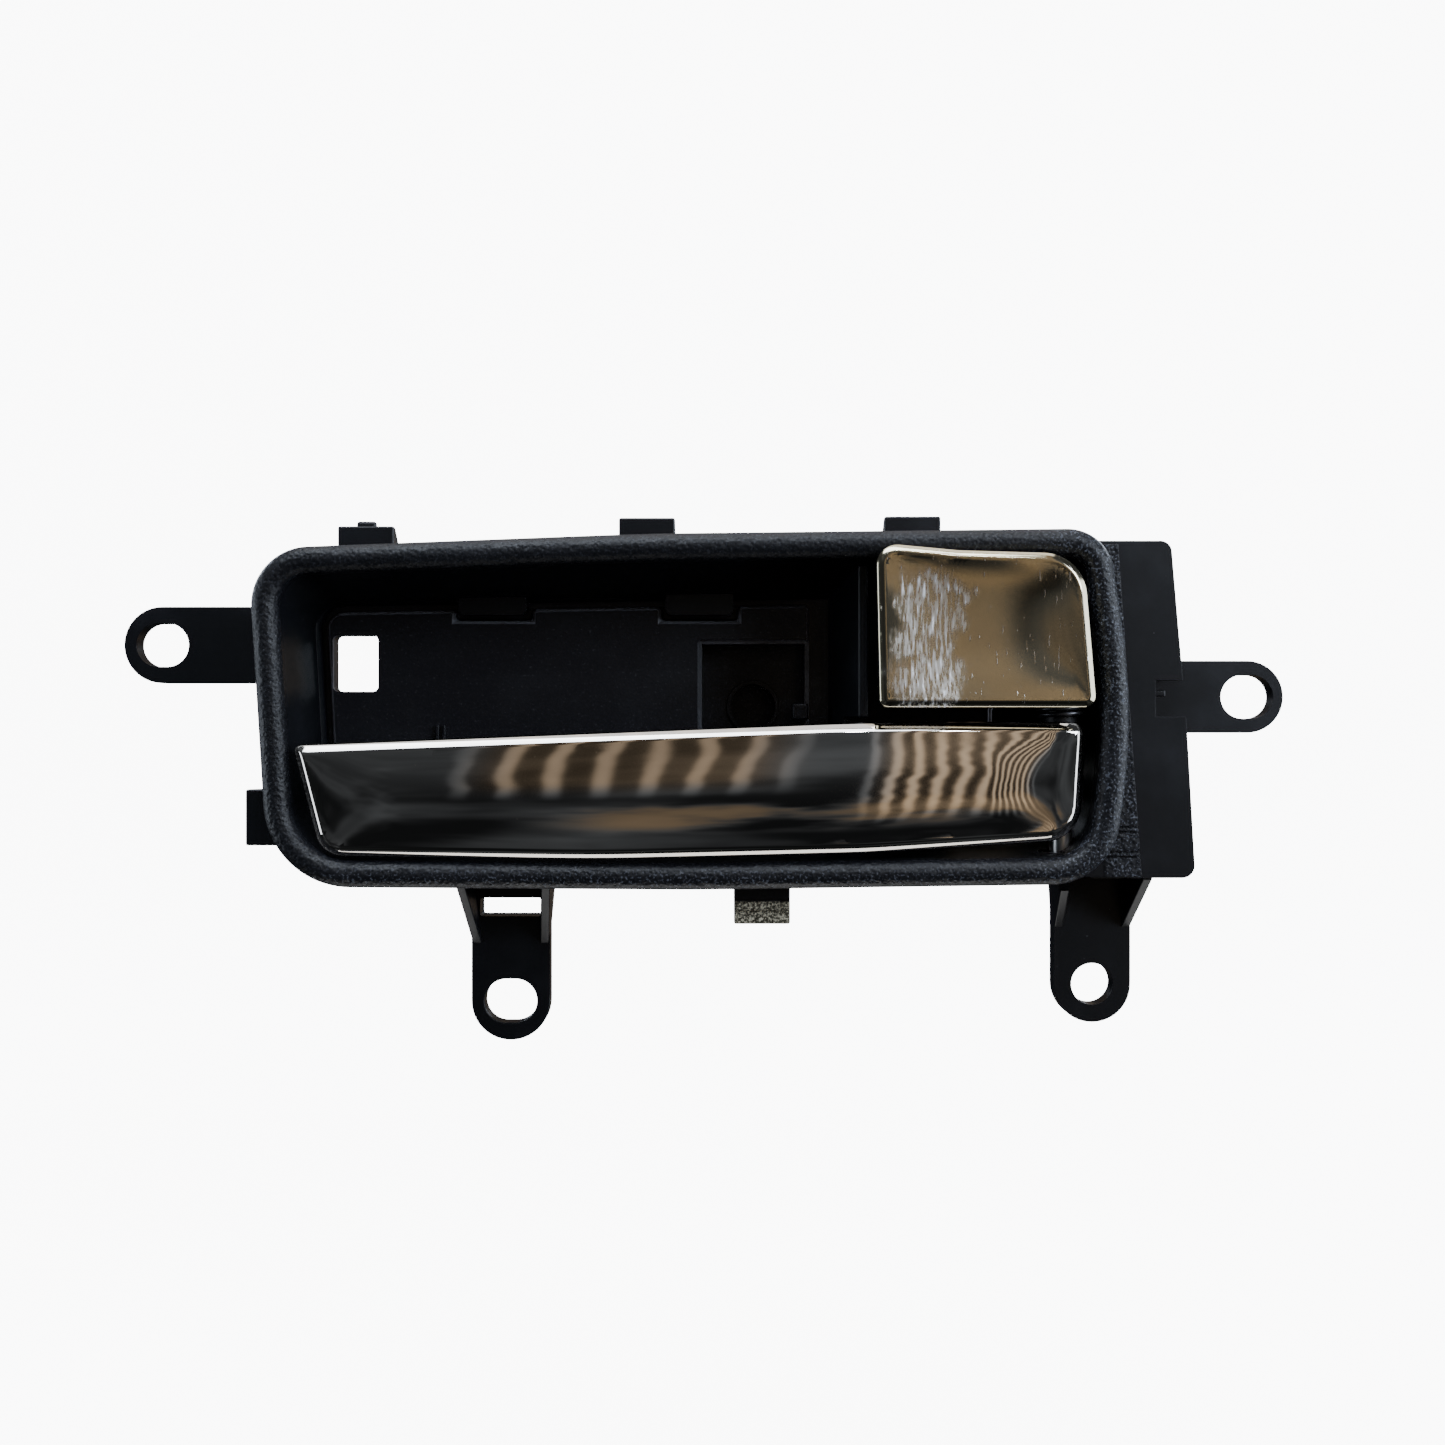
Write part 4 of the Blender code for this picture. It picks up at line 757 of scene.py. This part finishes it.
def carrier_plastic():
    """Plain black plastic of the carriers, with faint flow lines."""
    finish = Finish("black_carrier_plastic", (0.02, 0.02, 0.022), 0.5)
    flow = finish.noise(120.0, 3.0, finish.stretched((1.0, 1.0, 5.0)))
    finish.feed("Roughness", 0.45 + flow * 0.15)
    finish.feed("Base Color", finish.blend(flow, (0.009, 0.0095, 0.012), (0.018, 0.0185, 0.022)))
    finish.relief(finish.noise(3200.0, 2.0), 0.02)
    return finish


def chrome(name, worn):
    """Chrome plating with faint handling marks; the knob has a scratched, dulled patch."""
    finish = Finish(name, (0.66, 0.64, 0.62), 0.05, 1.0)
    smears = finish.noise(70.0, 4.0).step(0.5, 0.8)
    specks = finish.cells(420.0).step(0.0, 0.045)
    dots = 1.0 - specks
    roughness = (0.12 if worn else 0.035) + smears * 0.05 + dots * 0.25
    colour = finish.blend(dots * 0.5, (0.7, 0.66, 0.6), (0.85, 0.85, 0.86))
    if worn:
        x, z = finish.axis("X"), finish.axis("Z")
        edge = (finish.noise(190.0, 4.0) - 0.5) * 16.0
        across, up = x + edge, z + edge
        patch = across.step(33.0, 36.0) * (1.0 - across.step(44.0, 47.0)) * (1.0 - up.step(21.0, 25.0))
        strokes = finish.noise(2200.0, 3.0, finish.stretched((1.0, 1.0, 0.12), (0.0, 0.5, 0.0)))
        crossing = finish.noise(2600.0, 3.0, finish.stretched((1.0, 1.0, 0.12), (0.0, -0.7, 0.0)))
        marks = strokes.step(0.44, 0.62) * 0.4 + crossing.step(0.48, 0.62) * 0.35 + 0.12
        light_marks = crossing.step(0.6, 0.66) * strokes.step(0.55, 0.62) * 0.5
        worn_here = patch * marks + light_marks
        roughness = roughness + worn_here * 0.34 + patch * 0.05
        colour = finish.blend(worn_here, (0.62, 0.56, 0.4), (0.95, 0.96, 1.0))
        finish.relief(worn_here, 0.01)
    finish.feed("Roughness", roughness)
    finish.feed("Base Color", colour)
    return finish


def metal(name, light, dark, roughness, grain, stretch):
    """Plain metal with a drawn or rolled grain and a few duller spots."""
    finish = Finish(name, light, roughness, 1.0)
    lines = finish.noise(grain, 3.0, finish.stretched(stretch))
    spots = finish.noise(300.0, 3.0).step(0.55, 0.72)
    finish.feed("Base Color", finish.blend(lines * 0.5 + spots * 0.5, light, dark))
    finish.feed("Roughness", (roughness - 0.06) + lines * 0.14 + spots * 0.1)
    finish.relief(lines, 0.008)
    return finish


def soft_material(name, colour, other, roughness, scale):
    """Nylon or rubber with a slightly cloudy surface."""
    finish = Finish(name, colour, roughness)
    cloud = finish.noise(scale, 4.0)
    finish.feed("Base Color", finish.blend(cloud, colour, other))
    finish.feed("Roughness", (roughness - 0.08) + cloud * 0.16)
    finish.relief(finish.noise(scale * 9.0, 2.0), 0.02)
    return finish


# ---------------------------------------------------------------- placing the pieces
BODIES = dict.fromkeys(("lever_shell", "lever_core", "shell_screw_left", "shell_screw_right",
                        "lever_cable_clip"), "lever")
BODIES.update(dict.fromkeys(("lock_cap", "lock_core", "lock_cable_clip"), "lock"))


def place(piece, node):
    """The piece stands for a CAD node and moves with its body."""
    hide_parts(node)
    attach(piece, BODIES.get(node, "housing"))


def build_parts():
    moulding, floor, carrier = moulded_plastic(), floor_plastic(), carrier_plastic()
    pin_steel = metal("pin_steel", (0.6, 0.6, 0.59), (0.4, 0.4, 0.4), 0.3, 500.0, (1.0, 1.0, 0.05))
    spring_steel = metal("spring_steel", (0.13, 0.13, 0.14), (0.07, 0.07, 0.08), 0.36, 700.0,
                         (1.0, 1.0, 0.4))
    zinc = metal("zinc_plated_steel", (0.68, 0.67, 0.6), (0.5, 0.49, 0.42), 0.38, 350.0, (1.0, 1.0, 0.2))
    nylon = soft_material("natural_nylon", (0.75, 0.72, 0.63), (0.64, 0.6, 0.5), 0.5, 160.0)
    dark_nylon = soft_material("dark_nylon", (0.012, 0.012, 0.014), (0.02, 0.02, 0.022), 0.45, 160.0)
    rubber = soft_material("black_rubber", (0.02, 0.02, 0.02), (0.034, 0.034, 0.034), 0.82, 220.0)
    place(build_housing(moulding), "housing")
    place(build_recess_floor(floor), "recess_floor")
    place(build_lever_shell(chrome("lever_chrome", False)), "lever_shell")
    place(build_lock_cap(chrome("knob_chrome", True)), "lock_cap")
    place(build_return_spring(spring_steel), "return_spring")
    softened_parts = (
        ("lever_core", "lever_carrier", 0.25, carrier, "carrier_plastic"),
        ("lock_core", "knob_carrier", 0.25, carrier, "carrier_plastic"),
        ("shell_screw_left", "face_screw_left", 0.12, zinc, "screw_steel"),
        ("shell_screw_right", "face_screw_right", 0.12, zinc, "screw_steel"),
        ("pivot_pin", "hinge_pin", 0.25, pin_steel, "pin_steel"),
        ("bush_upper", "upper_bush", 0.15, dark_nylon, "nylon"),
        ("bush_lower", "lower_bush", 0.15, dark_nylon, "nylon"),
        ("pin_clip", "pin_lock_washer", 0.12, spring_steel, "spring_steel"),
        ("hub_spacer", "spacer_sleeve", 0.12, dark_nylon, "nylon"),
        ("lock_detent_spring", "detent_leaf", 0.08, spring_steel, "spring_steel"),
        ("cable_bracket", "cable_bracket_sheet", 0.3, zinc, "bracket_steel"),
        ("bracket_screw_lower", "lower_bracket_screw", 0.2, zinc, "screw_steel"),
        ("bracket_screw_upper", "upper_bracket_screw", 0.2, zinc, "screw_steel"),
        ("lever_cable_clip", "lever_cable_holder", 0.2, nylon, "nylon"),
        ("lock_cable_clip", "knob_cable_holder", 0.2, nylon, "nylon"),
        ("lever_bump_stop", "lever_rest_block", 0.25, rubber, "rubber"),
        ("lock_bump_stop", "knob_rest_block", 0.25, rubber, "rubber"),
    )
    for node, name, edge, finish, slot in softened_parts:
        place(softened(node, name, edge, finish), node)


# ---------------------------------------------------------------- studio
def build_stage():
    """A plain pale floor that curves up into a backdrop."""
    profile = [(-0.13, -0.156), (0.2, -0.156)]
    for step in range(13):
        angle = math.pi / 2.0 * step / 12
        profile.append((0.3 + 0.12 * math.sin(angle), -0.156 + 0.12 * (1.0 - math.cos(angle))))
    profile.append((0.42, 0.75))
    mesh_data = bmesh.new()
    rows = [[mesh_data.verts.new((x, y, z)) for y, z in profile] for x in (-0.9, 0.9)]
    for index in range(len(profile) - 1):
        mesh_data.faces.new((rows[0][index], rows[1][index], rows[1][index + 1], rows[0][index + 1]))
    mesh = bpy.data.meshes.new("studio_floor")
    mesh_data.to_mesh(mesh)
    mesh_data.free()
    floor = bpy.data.objects.new("studio_floor", mesh)
    bpy.context.scene.collection.objects.link(floor)
    pale = Finish("pale_floor", (0.9, 0.9, 0.9), 0.9)
    pale.shader.inputs["Emission Color"].default_value = (1.0, 1.0, 1.0, 1.0)
    pale.shader.inputs["Emission Strength"].default_value = FLOOR_GLOW
    smooth(paint(floor, pale), 60.0)
    floor.visible_diffuse = False
    floor.visible_glossy = False


def soft_box(name, place_at, aim, wide, high, watts, colour=(1.0, 1.0, 1.0)):
    """A rectangular light turned towards a point."""
    lamp = bpy.data.lights.new(name, "AREA")
    lamp.shape = "RECTANGLE"
    lamp.size, lamp.size_y = wide, high
    lamp.energy = watts
    lamp.color = colour
    light = bpy.data.objects.new(name, lamp)
    bpy.context.scene.collection.objects.link(light)
    light.location = place_at
    light.rotation_mode = "QUATERNION"
    light.rotation_quaternion = (Vector(aim) - Vector(place_at)).to_track_quat("-Z", "Y")
    light.visible_camera = False
    return light


FLOOR_GLOW = 9.0
SKY_GLOW = 9.0


def build_lights():
    middle = (0.0, 0.0, 0.0)
    cool, neutral = (0.8, 0.88, 1.0), (0.95, 0.96, 1.0)
    soft_box("key", (-0.1, -0.3, 0.6), middle, 0.6, 0.25, 4.5, cool)
    soft_box("overhead", (0.0, 0.15, 0.72), (0.0, 0.1, 0.0), 0.8, 0.8, 3.2, neutral)
    soft_box("right_front", (0.6, -0.5, 0.3), middle, 0.3, 0.3, 4.0, cool)
    soft_box("right_edge", (0.72, -0.1, 0.0), middle, 0.6, 0.6, 4.5, cool)
    soft_box("left_edge", (-0.72, -0.05, 0.0), middle, 0.5, 0.45, 2.5, cool)
    soft_box("low_glow", (0.0, 0.1, -0.72), middle, 0.8, 0.5, 3.0)
    soft_box("back_left", (-0.5, 0.5, 0.25), middle, 0.4, 0.3, 3.0, cool)
    soft_box("back_right", (0.5, 0.5, 0.25), middle, 0.4, 0.3, 3.0, cool)
    for x in (0.10, 0.19):
        soft_box("ceiling_lamp", (x, -0.5, 0.48), (0.05, 0.0, 0.01), 0.02, 0.02, 0.15, (0.86, 0.92, 1.0))


class Surroundings(Finish):
    """The air round the studio: bright to look at, dark with soft bands as chrome reflects it."""

    def __init__(self, name):
        self.world = bpy.data.worlds.new(name)
        self.world.use_nodes = True
        self.tree = self.world.node_tree
        self.shader = self.tree.nodes["Background"]
        self.place = self.node("ShaderNodeTexCoord", {}, {}, "Generated")

    def bands(self, scale, distortion):
        settings = {"wave_type": "BANDS", "bands_direction": "X"}
        inputs = {"Vector": self.place, "Scale": scale, "Distortion": distortion,
                  "Detail": 1.0, "Detail Scale": 0.6}
        return self.node("ShaderNodeTexWave", settings, inputs, "Fac")


def build_surroundings():
    air = Surroundings("studio_air")
    x, z = (air.axis(name) * MM for name in "XZ")
    upper = z.step(-0.2, 0.4)
    right = x.step(0.12, 0.17) * (1.0 - x.step(0.36, 0.42)) * z.step(-0.36, -0.16)
    left = x.step(-0.26, -0.18) * (1.0 - x.step(0.0, 0.1)) * z.step(-0.1, 0.1)
    room = air.noise(3.2, 3.0).step(0.42, 0.75)
    below = z.step(-0.42, -0.3) * (1.0 - z.step(-0.2, -0.1))
    low_band = below * x.step(-0.2, -0.05) * air.noise(6.0, 3.0).step(0.4, 0.6)
    right_stripes = right * air.bands(15.0, 2.0).step(0.35, 0.95) * 0.34
    stripes = right_stripes + left * air.bands(7.5, 2.0).step(0.45, 1.0) * 0.16
    light = 0.01 + upper * 0.04 + room * 0.08 + low_band * 0.14 + stripes
    warmth = (right * 0.8 + left * 0.8 + low_band).step(0.0, 1.0)
    colour = air.blend(warmth, (0.8, 0.88, 1.0), (1.0, 0.76, 0.52))
    seen = air.node("ShaderNodeLightPath", {}, {}, "Is Camera Ray")
    air.feed("Color", air.blend(seen, colour, (1.0, 1.0, 1.0)))
    air.feed("Strength", (1.0 - seen) * (light + stripes) + seen * SKY_GLOW)
    bpy.context.scene.world = air.world


def build_camera():
    camera = bpy.data.cameras.new("front_camera")
    camera.lens = 36.64
    camera.sensor_width = 36.0
    camera.clip_start = 0.01
    made = bpy.data.objects.new("front_camera", camera)
    bpy.context.scene.collection.objects.link(made)
    made.location = (0.0052, -0.2535, -0.0021)
    made.rotation_euler = (math.pi / 2.0, 0.0, 0.0)
    bpy.context.scene.camera = made


build_parts()
build_stage()
build_lights()
build_surroundings()
build_camera()
